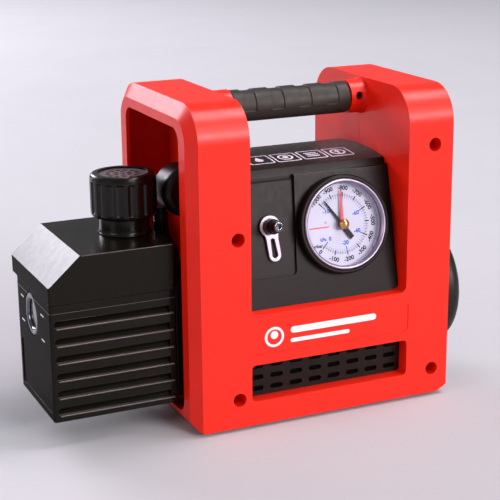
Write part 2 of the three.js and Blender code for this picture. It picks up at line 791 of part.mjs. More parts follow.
function coverOutline(inset) {
  const left = CASE.left + inset;
  const right = CASE.right - inset;
  const top = COVER_TOP - inset;
  const lower = COVER_TOP - COVER_SLOPE.drop - inset * 0.4;
  return polygon([
    [left, inset ? COVER_BASE - 1 : COVER_BASE],
    [right, inset ? COVER_BASE - 1 : COVER_BASE],
    [right, top],
    [CASE.left + COVER_SLOPE.run + inset * 0.4, top],
    [left, lower],
  ]);
}

function addCaseCover() {
  const half = -CASE.front;
  const block = extrudeY(coverOutline(0), -half, half);
  const hollow = extrudeY(coverOutline(CASE_WALL), -half + CASE_WALL, half - CASE_WALL);
  const way = rodZ(COVER_TOP - 10, COVER_TOP + 5, EXHAUST_X, 0, 12);
  add("case_cover", cut(block, hollow, way), BLACK_PAINT());

  const base = COVER_TOP + GAP;
  const { bottom: capBottom, top: rimTop, radius: capRadius, bore: capBore } = EXHAUST_CAP;
  const neck = turned(
    [
      [11.7, base],
      [22.3, base],
      [20.8, base + 1.6],
      [19.9, base + 4.4],
      [19.7, capBottom - GAP],
      [capBore - 0.4, capBottom - GAP],
      [capBore - 0.4, 175],
      [11.7, 175],
      [11.7, base],
    ],
    24,
  );
  add("exhaust_neck", neck.translate(EXHAUST_X, 0, 0), BLACK_PAINT());

  const flutes = 18;
  const side = rodZ(capBottom, rimTop - 2, 0, 0, capRadius, flutes);
  const shoulder = turned(
    [
      [0, rimTop - 3],
      [25.4, rimTop - 3],
      [25, rimTop - 1.2],
      [23.6, rimTop],
      [0, rimTop],
    ],
    24,
  );
  const cap = cut(
    join(side, shoulder),
    rodZ(capBottom - 1, 184, 0, 0, capBore, 24),
    rodZ(180, 200, 0, 0, 14.5, 24),
    rodZ(rimTop - 4.2, rimTop + 1, 0, 0, 17.7, 24),
  );
  add("exhaust_cap", cap.translate(EXHAUST_X, 0, 0), BLACK_PLASTIC());

  const screen = new THREE.Shape().absarc(0, 0, 17.4, 0, 2 * Math.PI);
  const rings = [
    [1, 0],
    [6, 6],
    [12, 12],
  ];
  for (const [count, radius] of rings) {
    for (let i = 0; i < count; i++) {
      const angle = (2 * Math.PI * i) / count;
      const hole = new THREE.Path();
      hole.absarc(radius * Math.cos(angle), radius * Math.sin(angle), 1.5, 0, 2 * Math.PI);
      screen.holes.push(hole);
    }
  }
  const screenPlate = extrudeZ(screen, rimTop - 3.9, rimTop - 2.4);
  add("exhaust_screen", screenPlate.translate(EXHAUST_X, 0, 0), BLACK_PLASTIC());
}

// ---------------------------------------------------------------- pump unit
function addPumpUnit() {
  const flangeShape = roundedRectangle(-51, 51, 22, 116, 4);
  const flange = cut(
    extrudeX(flangeShape, CASE.right + GAP, -74.8),
    rodX(-90, -70, 0, AXIS_HEIGHT, 16.3, 24),
  );
  add("pump_flange", flange, BLACK_PAINT());
  const seal = ring(SHAFT_RADIUS + GAP, 16, -79.4, -75.2).rotateY(Math.PI / 2);
  add("shaft_seal", seal.translate(0, 0, AXIS_HEIGHT), RUBBER());

  const statorStart = -112;
  const statorEnd = -83;
  const bore = rodX(statorStart - 1, statorEnd + 1, 0, AXIS_HEIGHT + ECCENTRICITY, STATOR_BORE, 24);
  const stator = cut(
    rodX(statorStart, -80.1, 0, AXIS_HEIGHT, STATOR_RADIUS),
    bore,
    rodX(-84, -79, 0, AXIS_HEIGHT, SHAFT_RADIUS + GAP, 24),
  );
  add("pump_stator", stator, finish(0x6c6a68, 0.5, 0.9));
  const plate = ring(SHAFT_RADIUS - 1, STATOR_RADIUS, -120, statorStart - GAP, 24).rotateY(Math.PI / 2);
  add("pump_end_plate", plate.translate(0, 0, AXIS_HEIGHT), finish(0x6c6a68, 0.5, 0.9));

  const rotorEnds = [statorStart + GAP, -84.6];
  const slotHalf = VANE.thickness / 2 + GAP;
  const rotor = cut(
    rodX(...rotorEnds, 0, AXIS_HEIGHT, ROTOR_RADIUS, 24),
    rodX(-120, -80, 0, AXIS_HEIGHT, 7.3, 20),
    box(-120, -80, VANE.root - GAP, 30, AXIS_HEIGHT - slotHalf, AXIS_HEIGHT + slotHalf),
    box(-120, -80, -30, -VANE.root + GAP, AXIS_HEIGHT - slotHalf, AXIS_HEIGHT + slotHalf),
  );
  add("pump_rotor", rotor, STEEL());
  const names = ["front_vane", "back_vane"];
  [-1, 1].forEach((side, i) => {
    const near = Math.min(side * VANE.root, side * VANE.tip);
    const far = Math.max(side * VANE.root, side * VANE.tip);
    const half = VANE.thickness / 2;
    const vane = box(...rotorEnds, near, far, AXIS_HEIGHT - half, AXIS_HEIGHT + half);
    add(names[i], vane, finish(0x3a3836, 0.6, 0));
  });

  const bracket = cut(
    join(
      rodX(-74.5, -46.5, 0, AXIS_HEIGHT, 48, 24),
      rodX(-47, -30, 0, AXIS_HEIGHT, DRIVE_NECK, 24),
      box(-74.5, -60, -16, 16, 100, 121),
      riser().translate(RISER_X, 0, 0),
    ),
    rodX(-54, -29, 0, AXIS_HEIGHT, DRIVE_NECK - 4),
    rodX(-68, -50, 0, AXIS_HEIGHT, 20.3, 24),
    rodX(-80, -60, 0, AXIS_HEIGHT, 10, 24),
    box(-200, -74.5, -100, 100, 0, 140),
  );
  add("pump_bracket", bracket, BLACK_PAINT());
}

// The intake riser: a flared foot on the bracket that narrows to a slim neck.
function riser() {
  return turned(
    [
      [0, 112],
      [13.5, 112],
      [13.5, 124],
      [12.8, 128],
      [8.4, 136],
      [6.6, 142],
      [6, 147],
      [6, RISER_TOP],
      [0, RISER_TOP],
    ],
    20,
  );
}

// ---------------------------------------------------------------- motor
function addMotor() {
  const atAxis = (geometry) => geometry.translate(0, 0, AXIS_HEIGHT);
  const housing = ring(46.3, MOTOR_RADIUS, -29.7, 96, 24).rotateY(Math.PI / 2);
  add("motor_housing", atAxis(housing), BLACK_PAINT());
  const stack = ring(29.8, 46, -5, 75, 24).rotateY(Math.PI / 2);
  add("motor_stator", atAxis(stack), STEEL());
  const winding = turnedX(
    [
      [28, -21],
      [38, -21],
      [43, -17],
      [44, -5.3],
      [29.5, -5.3],
      [29.5, 75.3],
      [44, 75.3],
      [43, 87],
      [38, 91],
      [28, 91],
      [28, -21],
    ],
    20,
  );
  add("stator_winding", atAxis(winding), COPPER());
  const rotorProfile = [
    [0, -134],
    [7, -134],
    [7, -83.4],
    [SHAFT_RADIUS, -83.4],
    [SHAFT_RADIUS, -5],
    [27.4, -5],
    [27.4, 75],
    [SHAFT_RADIUS, 75],
    [SHAFT_RADIUS, 164],
    [0, 164],
  ];
  add("motor_rotor", atAxis(turnedX(rotorProfile, 20)), STEEL());
  const bearing = (from, to) => ring(SHAFT_RADIUS + GAP, 20, from, to).rotateY(Math.PI / 2);
  add("front_bearing", atAxis(bearing(-67.5, -55.5)), CHROME());
  add("rear_bearing", atAxis(bearing(108, 120)), CHROME());
  const bell = cut(
    rodX(96.3, 126, 0, AXIS_HEIGHT, MOTOR_RADIUS, 24),
    rodX(95, 107, 0, AXIS_HEIGHT, 45),
    rodX(100, 120.3, 0, AXIS_HEIGHT, 20.3, 24),
    rodX(100, 130, 0, AXIS_HEIGHT, 10, 24),
  );
  add("rear_end_bell", bell, ALUMINIUM());
  add("capacitor", rodX(2, 62, 34, 135, 16, 24), ALUMINIUM());
}

function addFan() {
  const start = 142;
  const end = 162;
  const blades = 7;
  const hub = rodX(start, end, 0, 0, 15, 24);
  const pieces = [hub];
  for (let i = 0; i < blades; i++) {
    const blade = new THREE.BoxGeometry(20, 2, 31)
      .rotateZ(0.5)
      .translate((start + end) / 2, 0, 27.5)
      .rotateX((2 * Math.PI * i) / blades);
    pieces.push(blade);
  }
  const fan = cut(join(...pieces), rodX(start - 1, end + 1, 0, 0, SHAFT_RADIUS + GAP, 24));
  add("cooling_fan", fan.translate(0, 0, AXIS_HEIGHT), BLACK_PLASTIC());

  const w = 2.5;
  const { radius, start: from, step, end: to, round } = FAN_COVER;
  const steps = 4;
  const outer = [
    [DRIVE_NECK, from],
    [DRIVE_NECK, step],
    [radius, step],
  ];
  const inner = [
    [DRIVE_NECK - w, from],
    [DRIVE_NECK - w, step + w],
    [radius - w, step + w],
  ];
  for (let i = 0; i <= steps; i++) {
    const angle = (i / steps) * (Math.PI / 2);
    outer.push([
      radius - round + round * Math.cos(angle),
      to - round + round * Math.sin(angle),
    ]);
    inner.push([
      radius - round + (round - w) * Math.cos(angle),
      to - round + (round - w) * Math.sin(angle),
    ]);
  }
  const profile = [...outer, [0, to], [0, to - w], ...inner.reverse(), [DRIVE_NECK, from]];
  const slots = [];
  const spokes = 8;
  for (let i = 0; i < spokes; i++) {
    const turn = (2 * Math.PI * i) / spokes;
    slots.push(box(to - 5, to + 1, -3.5, 3.5, 12, 24).rotateX(turn));
  }
  const shell = cut(turnedX(profile, 24), ...slots);
  add("fan_cover", shell.translate(0, 0, AXIS_HEIGHT), BLACK_PLASTIC());
}

// ---------------------------------------------------------------- switch and mains inlet
const CONTROL = { x: 142, height: 178, switchY: -26, inletY: 26 };

function addControls() {
  const { x, height, switchY, inletY } = CONTROL;
  const thick = 3;
  const plate = cut(
    extrudeX(roundedRectangle(-62, 62, 124, 232, 6), x - thick, x),
    box(x - 10, x + 5, switchY - 11.3, switchY + 11.3, height - 15.3, height + 15.3),
    box(x - 10, x + 5, inletY - 14.3, inletY + 14.3, height - 10.8, height + 10.8),
  );
  add("control_panel", plate, BLACK_PLASTIC());

  // switch case with an open mouth, and the rocker that tilts in it about a crosswise pin
  const flangeOut = 1.8;
  const mouth = box(x - 12, x + 5, switchY - 9, switchY + 9, height - 13, height + 13);
  const switchCase = cut(
    join(
      box(x - 16, x + 1, switchY - 11, switchY + 11, height - 15, height + 15),
      box(x + GAP, x + flangeOut, switchY - 13, switchY + 13, height - 17, height + 17),
    ),
    mouth,
  );
  add("switch_body", switchCase, BLACK_PLASTIC());
  const rockerShape = polygon([
    [-5, -6],
    [5, -6],
    [12.2, 0.5],
    [12, 3.4],
    [0, 1.6],
    [-12, 3.4],
    [-12.2, 0.5],
  ]);
  const rocker = extrudeY(rockerShape, -8.6, 8.6)
    .rotateY(Math.PI / 2)
    .rotateY(THREE.MathUtils.degToRad(7));
  add("switch_rocker", rocker.translate(x, switchY, height), finish(0xc02018, 0.4, 0));

  const socket = join(
    box(x - 18, x + 1, inletY - 14, inletY + 14, height - 10.5, height + 10.5),
    box(x + GAP, x + flangeOut, inletY - 17, inletY + 17, height - 13, height + 13),
  );
  const cavity = box(x - 15, x + 5, inletY - 12, inletY + 12, height - 8.5, height + 8.5);
  const pins = [
    [-7, 2],
    [0, -2.6],
    [7, 2],
  ].map(([y, z]) =>
    box(x - 16, x - 4, inletY + y - 1, inletY + y + 1, height + z - 2.4, height + z + 2.4),
  );
  add("mains_inlet", join(cut(socket, cavity), ...pins), BLACK_PLASTIC());
}

addShells();
addGrilles();
addFeet();
addHandle();
addMotorCover();
addGauge();
addValve();
addIntake();
addOilCase();
addCaseCover();
addPumpUnit();
addMotor();
addFan();
addControls();

export default pump;
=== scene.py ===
"""Looks of a portable rotary vane vacuum pump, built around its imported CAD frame."""

import math

import bmesh
import bpy
from mathutils import Matrix, Vector


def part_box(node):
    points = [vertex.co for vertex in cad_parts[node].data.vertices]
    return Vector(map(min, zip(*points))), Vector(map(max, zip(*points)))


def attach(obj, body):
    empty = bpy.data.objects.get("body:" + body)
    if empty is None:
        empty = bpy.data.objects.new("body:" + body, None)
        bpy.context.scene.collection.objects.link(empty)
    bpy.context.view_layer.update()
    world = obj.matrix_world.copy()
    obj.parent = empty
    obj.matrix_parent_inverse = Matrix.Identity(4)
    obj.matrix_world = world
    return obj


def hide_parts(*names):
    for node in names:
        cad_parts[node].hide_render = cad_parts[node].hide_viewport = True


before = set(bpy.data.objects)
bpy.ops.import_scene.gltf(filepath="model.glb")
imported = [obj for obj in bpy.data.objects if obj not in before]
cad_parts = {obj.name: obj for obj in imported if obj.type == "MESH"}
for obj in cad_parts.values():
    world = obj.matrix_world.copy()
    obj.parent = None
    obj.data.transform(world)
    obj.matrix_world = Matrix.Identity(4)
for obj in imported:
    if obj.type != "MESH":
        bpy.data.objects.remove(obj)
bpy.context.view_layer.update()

# ------------------------------------------------------------------ driving dimensions, in millimetres
MM = 0.001  # one millimetre in Blender's metres


def extent(node):
    """Lowest and highest corner of a CAD node, as x0, x1, y0, y1, z0, z1 in millimetres."""
    low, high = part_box(node)
    return [value / MM for pair in zip(low, high) for value in pair]


LEFT, RIGHT, FRONT, _, LIFT, TOP = extent("front_shell")
COVER_LEFT, COVER_RIGHT = extent("motor_cover")[:2]
GAP = 0.3
HALF_PARTING = 0.15
BAY_LEFT = COVER_LEFT - GAP
BAY_RIGHT = COVER_RIGHT + GAP
DEPTH = -FRONT
SILL = LIFT + 90.3
WALL = 3
TOP_CORNER = 29
FOOT_CORNER = 10
RIGHT_FOOT_CORNER = 20
BAY_FILLET = 5
BEVEL_LENGTH = 6.5
BEVEL_INSET = 11
END_OPENING = {"left": -58, "right": 58, "bottom": LIFT + 10, "top": LIFT + 235.5, "corner": 11}
VENT = {"left": -29.5, "right": 108.5, "bottom": LIFT + 19.5, "top": LIFT + 49.5, "corner": 3.5}
VENT_DEPTH = 12
LABEL = {"left": -29, "right": 109.5, "bottom": LIFT + 57.5, "top": LIFT + 83, "corner": 4}
SHELL_SCREWS = [(-40, 151.7), (-40, 23), (130.5, 209), (132.5, 21)]
SCREW_DEPTH = 31
FOOT_PLACES = [(x, y) for x in (-57, 132) for y in (-60, 60)]

HANDLE_HEIGHT = LIFT + 238
COLLAR_RADIUS = 13.8
LEFT_COLLAR = 17.2
RIGHT_COLLAR = 14.5
GRIP_RADIUS = 13
TUBE_RADIUS = 8
COLLAR_SCREW = (BAY_RIGHT - 7.5, HANDLE_HEIGHT + 2)

LEAN = math.atan(0.22)
PANEL_FOOT = -69.5
POCKET = {"right": 17.6, "right_top": 23.6, "bottom": LIFT + 113, "depth": 2, "depth_top": 3.2}
GAUGE = (59.9, LIFT + 147.1)
VALVE = (-2, LIFT + 152)
DIAL_RADIUS = 33.8
BEZEL_RADIUS = 36
GAUGE_COLLAR = 39.4
DIAL_PIN = (-13.5, 2.5)
NEEDLE_ANGLE = 125
SET_ANGLE = 87
LEVER_TILT = 5
ARCH_HALF = 41
SHOULDER = LIFT + 194
CROWN = LIFT + 197.7
ARCH_RADIUS = (ARCH_HALF**2 + (CROWN - SHOULDER) ** 2) / (2 * (CROWN - SHOULDER))

AXIS_HEIGHT = LIFT + 69
MOTOR_RADIUS = 49
FAN_RADIUS = (extent("fan_cover")[3] - extent("fan_cover")[2]) / 2
CASE_LEFT, CASE_RIGHT, CASE_FRONT, CASE_BACK, CASE_BOTTOM, CASE_TOP = extent("oil_case")
LID_FRONT, LID_BACK, LID_BOTTOM, LID_TOP = extent("case_cover")[2:]
SIGHT_HEIGHT = LIFT + 90
CASE_WALL = 3.5
GROOVES = [LIFT + 95.5 - 13.85 * index for index in range(6)]
DRAIN = (-112, LIFT + 30)
BALLAST = (-98, LIFT + 96)
EXHAUST_X = (extent("exhaust_cap")[0] + extent("exhaust_cap")[1]) / 2
EXHAUST_CAP = {"bottom": extent("exhaust_cap")[4], "top": extent("exhaust_cap")[5]}
RISER_X = -71
INTAKE_X = -53.2
INTAKE_HEIGHT = LIFT + 175.5


# ------------------------------------------------------------------ outlines
def arc(x, y, radius, start, end, steps):
    """Points on a circle from one angle to the other, in degrees."""
    angles = [math.radians(start + (end - start) * i / steps) for i in range(steps + 1)]
    return [(x + radius * math.cos(a), y + radius * math.sin(a)) for a in angles]


def rounded(left, right, bottom, top, corner, steps=8):
    """A rectangle with round corners."""
    return (
        arc(right - corner, bottom + corner, corner, -90, 0, steps)
        + arc(right - corner, top - corner, corner, 0, 90, steps)
        + arc(left + corner, top - corner, corner, 90, 180, steps)
        + arc(left + corner, bottom + corner, corner, 180, 270, steps)
    )


def stadium(x, y, half_length, half_height, steps=8):
    """A slot with round ends."""
    straight = half_length - half_height
    right_end = arc(x + straight, y, half_height, -90, 90, steps)
    return right_end + arc(x - straight, y, half_height, 90, 270, steps)


def grown(window, rim):
    """The measures of a rounded window, with a rim all round."""
    return {
        "left": window["left"] - rim,
        "right": window["right"] + rim,
        "bottom": window["bottom"] - rim,
        "top": window["top"] + rim,
        "corner": window["corner"] + rim,
    }


def around(count, x, y, radius, phase=0.0):
    """Places spread evenly round a circle; the phase is a share of one step."""
    turns = [2 * math.pi * (index + phase) / count for index in range(count)]
    return [(x + radius * math.cos(turn), y + radius * math.sin(turn)) for turn in turns]


# ------------------------------------------------------------------ solids, as bmeshes in millimetres
AXES = {"X": ((0, 1, 0), (0, 0, 1), (1, 0, 0)), "Y": ((1, 0, 0), (0, 0, 1), (0, 1, 0))}
AXES["Z"] = ((1, 0, 0), (0, 1, 0), (0, 0, 1))


def skin(rings, capped=True, closed=False):
    """A surface through rings of points with equal counts."""
    mesh = bmesh.new()
    rows = [[mesh.verts.new(point) for point in ring] for ring in rings]
    pairs = list(zip(rows, rows[1:])) + ([(rows[-1], rows[0])] if closed else [])
    for low, high in pairs:
        for i in range(len(low)):
            j = (i + 1) % len(low)
            mesh.faces.new((low[i], low[j], high[j], high[i]))
    if capped and not closed:
        mesh.faces.new(rows[0])
        mesh.faces.new(rows[-1])
    bmesh.ops.recalc_face_normals(mesh, faces=mesh.faces)
    return mesh


def loft(sections, axis="X"):
    """Outlines at stations along an axis, joined into one solid."""
    across, up, along = (Vector(v) for v in AXES[axis])
    return skin(
        [[across * a + up * b + along * station for a, b in outline] for station, outline in sections]
    )


def prism(outline, axis, low, high):
    return loft([(low, outline), (high, outline)], axis)


def block(x0, x1, y0, y1, z0, z1):
    return prism([(x0, y0), (x1, y0), (x1, y1), (x0, y1)], "Z", z0, z1)


def turned(profile, axis="Z", centre=(0, 0, 0), sides=72):
    """A body of revolution from (radius, station) pairs: from axis to axis, or a closed loop."""
    across, up, along = (Vector(v) for v in AXES[axis])
    centre = Vector(centre)
    mesh = bmesh.new()
    closed = profile[0] == profile[-1]
    stations = profile[:-1] if closed else profile
    rows = []
    for radius, station in stations:
        base = centre + along * station
        if radius < 1e-6:
            rows.append([mesh.verts.new(base)] * sides)
            continue
        turns = [2 * math.pi * i / sides for i in range(sides)]
        rows.append(
            [mesh.verts.new(base + radius * (across * math.cos(t) + up * math.sin(t))) for t in turns]
        )
    for low, high in list(zip(rows, rows[1:])) + ([(rows[-1], rows[0])] if closed else []):
        for i in range(sides):
            j = (i + 1) % sides
            corners = list(dict.fromkeys((low[i], low[j], high[j], high[i])))
            if len(corners) > 2:
                mesh.faces.new(corners)
    bmesh.ops.recalc_face_normals(mesh, faces=mesh.faces)
    return mesh


def rod(axis, low, high, a, b, radius, sides=48):
    """A round bar along an axis; a and b are its place across it."""
    return prism(arc(a, b, radius, 0, 360 - 360 / sides, sides - 1), axis, low, high)


def ring_bar(axis, low, high, a, b, inner, outer, sides=64):
    """A tube or washer along an axis."""
    centre = {"X": (0, a, b), "Y": (a, 0, b), "Z": (a, b, 0)}[axis]
    loop = [(inner, low), (outer, low), (outer, high), (inner, high), (inner, low)]
    return turned(loop, axis, centre, sides)


def lettering(text, size, depth):
    """Flat figures centred on the origin, standing depth high."""
    curve = bpy.data.curves.new("figure", "FONT")
    curve.body = text
    curve.size = size
    curve.align_x = "CENTER"
    curve.align_y = "CENTER"
    curve.extrude = depth / 2
    curve.offset = size * 0.032
    curve.resolution_u = 3
    holder = bpy.data.objects.new("holder", curve)
    bpy.context.collection.objects.link(holder)
    graph = bpy.context.evaluated_depsgraph_get()
    mesh = bpy.data.meshes.new_from_object(holder.evaluated_get(graph))
    result = bmesh.new()
    result.from_mesh(mesh)
    bpy.data.objects.remove(holder)
    bpy.data.meshes.remove(mesh)
    return result


def merged(meshes):
    """Several bmeshes as one, kept as separate shells."""
    whole = bmesh.new()
    for mesh in meshes:
        spare = bpy.data.meshes.new("spare")
        mesh.to_mesh(spare)
        mesh.free()
        whole.from_mesh(spare)
        bpy.data.meshes.remove(spare)
    return whole


def moved(mesh, matrix):
    bmesh.ops.transform(mesh, matrix=matrix, verts=mesh.verts)
    return mesh


def carve(base, cut=(), add=(), keep=(), merge=True):
    """Joins add to the base, cuts cut from it, keeps what also lies in keep, and merges flat faces."""
    target = plain_object(base)
    changes = [("UNION", tool) for tool in add]
    changes += [("DIFFERENCE", tool) for tool in cut]
    changes += [("INTERSECT", tool) for tool in keep]
    tools = []
    for operation, tool in changes:
        change = target.modifiers.new("carve", "BOOLEAN")
        change.solver = "MANIFOLD"
        change.operation = operation
        change.object = plain_object(tool)
        tools.append(change.object)
    graph = bpy.context.evaluated_depsgraph_get()
    mesh = bpy.data.meshes.new_from_object(target.evaluated_get(graph))
    result = bmesh.new()
    result.from_mesh(mesh)
    bpy.data.meshes.remove(mesh)
    for spare in [target, *tools]:
        data = spare.data
        bpy.data.objects.remove(spare)
        bpy.data.meshes.remove(data)
    bmesh.ops.remove_doubles(result, verts=result.verts, dist=0.002)
    if merge:
        flat = math.radians(0.4)
        bmesh.ops.dissolve_limit(result, angle_limit=flat, verts=result.verts, edges=result.edges)
    return result


def plain_object(mesh):
    data = bpy.data.meshes.new("plain")
    mesh.to_mesh(data)
    mesh.free()
    made = bpy.data.objects.new("plain", data)
    bpy.context.collection.objects.link(made)
    return made


# ------------------------------------------------------------------ materials
def linear(red, green, blue):
    """A colour given as it looks on screen, 0 to 255, as Blender's linear colour."""
    shares = [value / 255 for value in (red, green, blue)]
    return [s / 12.92 if s <= 0.04045 else ((s + 0.055) / 1.055) ** 2.4 for s in shares] + [1]


def paint_shade_on_left_faces(nodes, link, shader, specular):
    """Painted shade: takes the shine off the faces that look to the left, so that they stay dark by their
    direction alone.
    """
    facing = nodes.new("ShaderNodeNewGeometry")
    parts = nodes.new("ShaderNodeSeparateXYZ")
    gloss = nodes.new("ShaderNodeMapRange")
    gloss.inputs["From Min"].default_value = -0.95
    gloss.inputs["From Max"].default_value = -0.8
    gloss.inputs["To Min"].default_value = specular / 24
    gloss.inputs["To Max"].default_value = specular
    link(facing.outputs["Normal"], parts.inputs["Vector"])
    link(parts.outputs["X"], gloss.inputs["Value"])
    link(gloss.outputs["Result"], shader.inputs["Specular IOR Level"])


def surface(
    name, colour, roughness, metallic=0.0, mottle=0.08, mottle_size=35, spread=0.06, grain=0.0,
    grain_size=0.8, stretch=(1, 1, 1), wear=None, coat=0.0, alpha=1.0, specular=0.5, left_faces_shaded=False
):
    """A procedural finish: mottled colour, uneven gloss, fine grain, worn edges and, if asked, painted shade
    on faces that look to the left, sized in millimetres.
    """
    material = bpy.data.materials.new(name)
    material.use_nodes = True
    nodes = material.node_tree.nodes
    link = material.node_tree.links.new
    shader = nodes["Principled BSDF"]
    shader.inputs["Metallic"].default_value = metallic
    shader.inputs["Coat Weight"].default_value = coat
    shader.inputs["Coat Roughness"].default_value = 0.12
    shader.inputs["Alpha"].default_value = alpha
    shader.inputs["Specular IOR Level"].default_value = specular
    # Painted shade on the faces that look to the left, when asked.
    if left_faces_shaded:
        paint_shade_on_left_faces(nodes, link, shader, specular)
    place = nodes.new("ShaderNodeTexCoord")
    mapping = nodes.new("ShaderNodeMapping")
    mapping.inputs["Scale"].default_value = stretch
    link(place.outputs["Object"], mapping.inputs["Vector"])

    def noise(size, detail):
        texture = nodes.new("ShaderNodeTexNoise")
        texture.inputs["Scale"].default_value = 1 / (size * MM)
        texture.inputs["Detail"].default_value = detail
        link(mapping.outputs["Vector"], texture.inputs["Vector"])
        return texture.outputs["Fac"]

    tone = nodes.new("ShaderNodeValToRGB")
    base = linear(*colour)
    tone.color_ramp.elements[0].position = 0.3
    tone.color_ramp.elements[1].position = 0.7
    tone.color_ramp.elements[0].color = [c * (1 - mottle) for c in base[:3]] + [1]
    tone.color_ramp.elements[1].color = [min(1, c * (1 + mottle)) for c in base[:3]] + [1]
    link(noise(mottle_size, 4), tone.inputs["Fac"])
    painted = tone.outputs["Color"]
    if wear:
        edge = nodes.new("ShaderNodeNewGeometry")
        mask = nodes.new("ShaderNodeMapRange")
        mask.inputs["From Min"].default_value = 0.53
        mask.inputs["From Max"].default_value = 0.62
        link(edge.outputs["Pointiness"], mask.inputs["Value"])
        broken = nodes.new("ShaderNodeMath")
        broken.operation = "MULTIPLY"
        link(mask.outputs["Result"], broken.inputs[0])
        link(noise(3, 6), broken.inputs[1])
        blend = nodes.new("ShaderNodeMix")
        blend.data_type = "RGBA"
        link(broken.outputs["Value"], blend.inputs["Factor"])
        link(painted, blend.inputs[6])
        blend.inputs[7].default_value = linear(*wear)
        painted = blend.outputs[2]
    link(painted, shader.inputs["Base Color"])

    gloss = nodes.new("ShaderNodeMapRange")
    gloss.inputs["From Min"].default_value = 0.3
    gloss.inputs["From Max"].default_value = 0.7
    gloss.inputs["To Min"].default_value = max(0.02, roughness - spread)
    gloss.inputs["To Max"].default_value = min(1, roughness + spread)
    link(noise(mottle_size / 5, 6), gloss.inputs["Value"])
    link(gloss.outputs["Result"], shader.inputs["Roughness"])

    if grain:
        bump = nodes.new("ShaderNodeBump")
        bump.inputs["Strength"].default_value = grain
        bump.inputs["Distance"].default_value = 0.1 * MM
        link(noise(grain_size, 3), bump.inputs["Height"])
        link(bump.outputs["Normal"], shader.inputs["Normal"])
    return material


RED = surface("moulded_red", (228, 30, 8), 0.36, mottle=0.04, spread=0.03, grain=0.1, specular=0.3)
COVER = surface(
    "textured_black_plastic", (26, 17, 13), 0.38, mottle=0.1, mottle_size=20, grain=0.45, grain_size=0.7,
    specular=0.15
)
PLASTIC = surface("moulded_black_plastic", (24, 20, 16), 0.4, grain=0.25, specular=0.25)
COLLAR_BLACK = surface("collar_black_plastic", (16, 13, 10), 0.4, grain=0.2, specular=0.15)
# Black paint with painted shade: its faces that look to the left lose their shine.
PAINT = surface(
    "black_paint", (16, 13, 7), 0.25, mottle=0.1, spread=0.02, grain=0.02, wear=(30, 26, 22), specular=0.13,
    left_faces_shaded=True
)
# Glossy black paint, partly real and partly a painted reflection: its reddish tint stands in for the red
# frame reflected in the intake drum.
GLOSS = surface("glossy_black_paint", (26, 14, 14), 0.36, mottle=0.1, grain=0.04, specular=0.22)
RUBBER = surface("grip_rubber", (40, 34, 27), 0.55, mottle=0.12, grain=0.7, grain_size=0.9, specular=0.35)
CHROME = surface("polished_chrome", (204, 198, 214), 0.22, 1, mottle=0.04, spread=0.04, grain=0.05)
STEEL = surface(
    "turned_steel", (158, 158, 162), 0.36, 1, mottle=0.12, grain=0.3, stretch=(12, 1, 1), spread=0.1
)
ALUMINIUM = surface("cast_aluminium", (176, 178, 180), 0.48, 1, mottle=0.1, grain=0.6, grain_size=1.2)
BRASS = surface("turned_brass", (196, 156, 104), 0.36, 1, mottle=0.1, grain=0.15, wear=(224, 200, 150))
COPPER = surface("drawn_copper", (190, 112, 74), 0.34, 1, mottle=0.14, grain=0.2)
IRON = surface("cast_iron", (104, 100, 96), 0.6, 0.8, mottle=0.15, grain=0.8, grain_size=1.4)
VANES = surface("carbon_composite", (52, 50, 48), 0.62, mottle=0.15, grain=0.5)
DIAL = surface("dial_enamel", (192, 190, 210), 0.5, mottle=0.02, grain=0.05)
MARK_BLACK = surface("printed_black", (12, 12, 16), 0.6, mottle=0.1, specular=0.2)
MARK_BLUE = surface("printed_blue", (36, 84, 190), 0.6, mottle=0.1, specular=0.2)
MARK_WHITE = surface("printed_white", (228, 226, 230), 0.5, mottle=0.05)
MARK_GREY = surface("printed_grey", (206, 196, 210), 0.5, mottle=0.15, mottle_size=3)
DARK_STEEL = surface("blackened_steel", (26, 22, 20), 0.35, 0.3, mottle=0.12, grain=0.2, specular=0.3)
PALE_RING = surface("pale_inner_ring", (206, 200, 222), 0.3, 0.6, mottle=0.03, grain=0.05)
SPINDLE = surface("black_spindle", (18, 15, 12), 0.3, mottle=0.08, grain=0.1, specular=0.3)
# Painted highlight: a lighter, half-metal colour for thin lines that stand in for lit edges: the beads, the
# seam and the cover's front edge.
HIGHLIGHT_LINES = surface("painted_highlight", (84, 70, 72), 0.34, 0.4, mottle=0.12, grain=0.2)
CAP = surface("satin_black_cap", (14, 12, 7), 0.24, mottle=0.08, spread=0.03, grain=0.05, specular=0.25)
# Near-black painted shade for the sheet behind the vent slots.
SHADE_BLACK = surface("painted_slot_shadow", (5, 4, 3), 0.9, mottle=0.2, grain=0.4, specular=0.03)
SCREEN = surface("exhaust_disc", (86, 66, 72), 0.5, mottle=0.1, grain=0.3)
POINTER_RED = surface("pointer_red", (214, 24, 20), 0.42, mottle=0.06)
CLEAR = surface("clear_glass", (150, 150, 160), 0.05, mottle=0.01, spread=0.02, alpha=0.03)
LEVER = surface("bright_nickel", (166, 158, 170), 0.34, 0.4, mottle=0.04, grain=0.08)
BEZEL = surface("satin_chrome", (158, 150, 168), 0.42, 1, mottle=0.05, spread=0.04, grain=0.08)
SIGHT = surface("shaded_chrome", (104, 104, 112), 0.16, 1, mottle=0.1, spread=0.04, grain=0.05)
OIL = surface("oil_glass", (52, 56, 46), 0.1, mottle=0.1, spread=0.03, coat=0.5)
FLOOR = surface("studio_floor", (178, 178, 181), 0.6, mottle=0.015, mottle_size=400, specular=0.2)


# ------------------------------------------------------------------ pieces
def split_wide_faces(mesh):
    """Cuts the faces with more than four corners into triangles."""
    wide = [face for face in mesh.faces if len(face.verts) > 4]
    bmesh.ops.triangulate(mesh, faces=wide, ngon_method="EAR_CLIP")


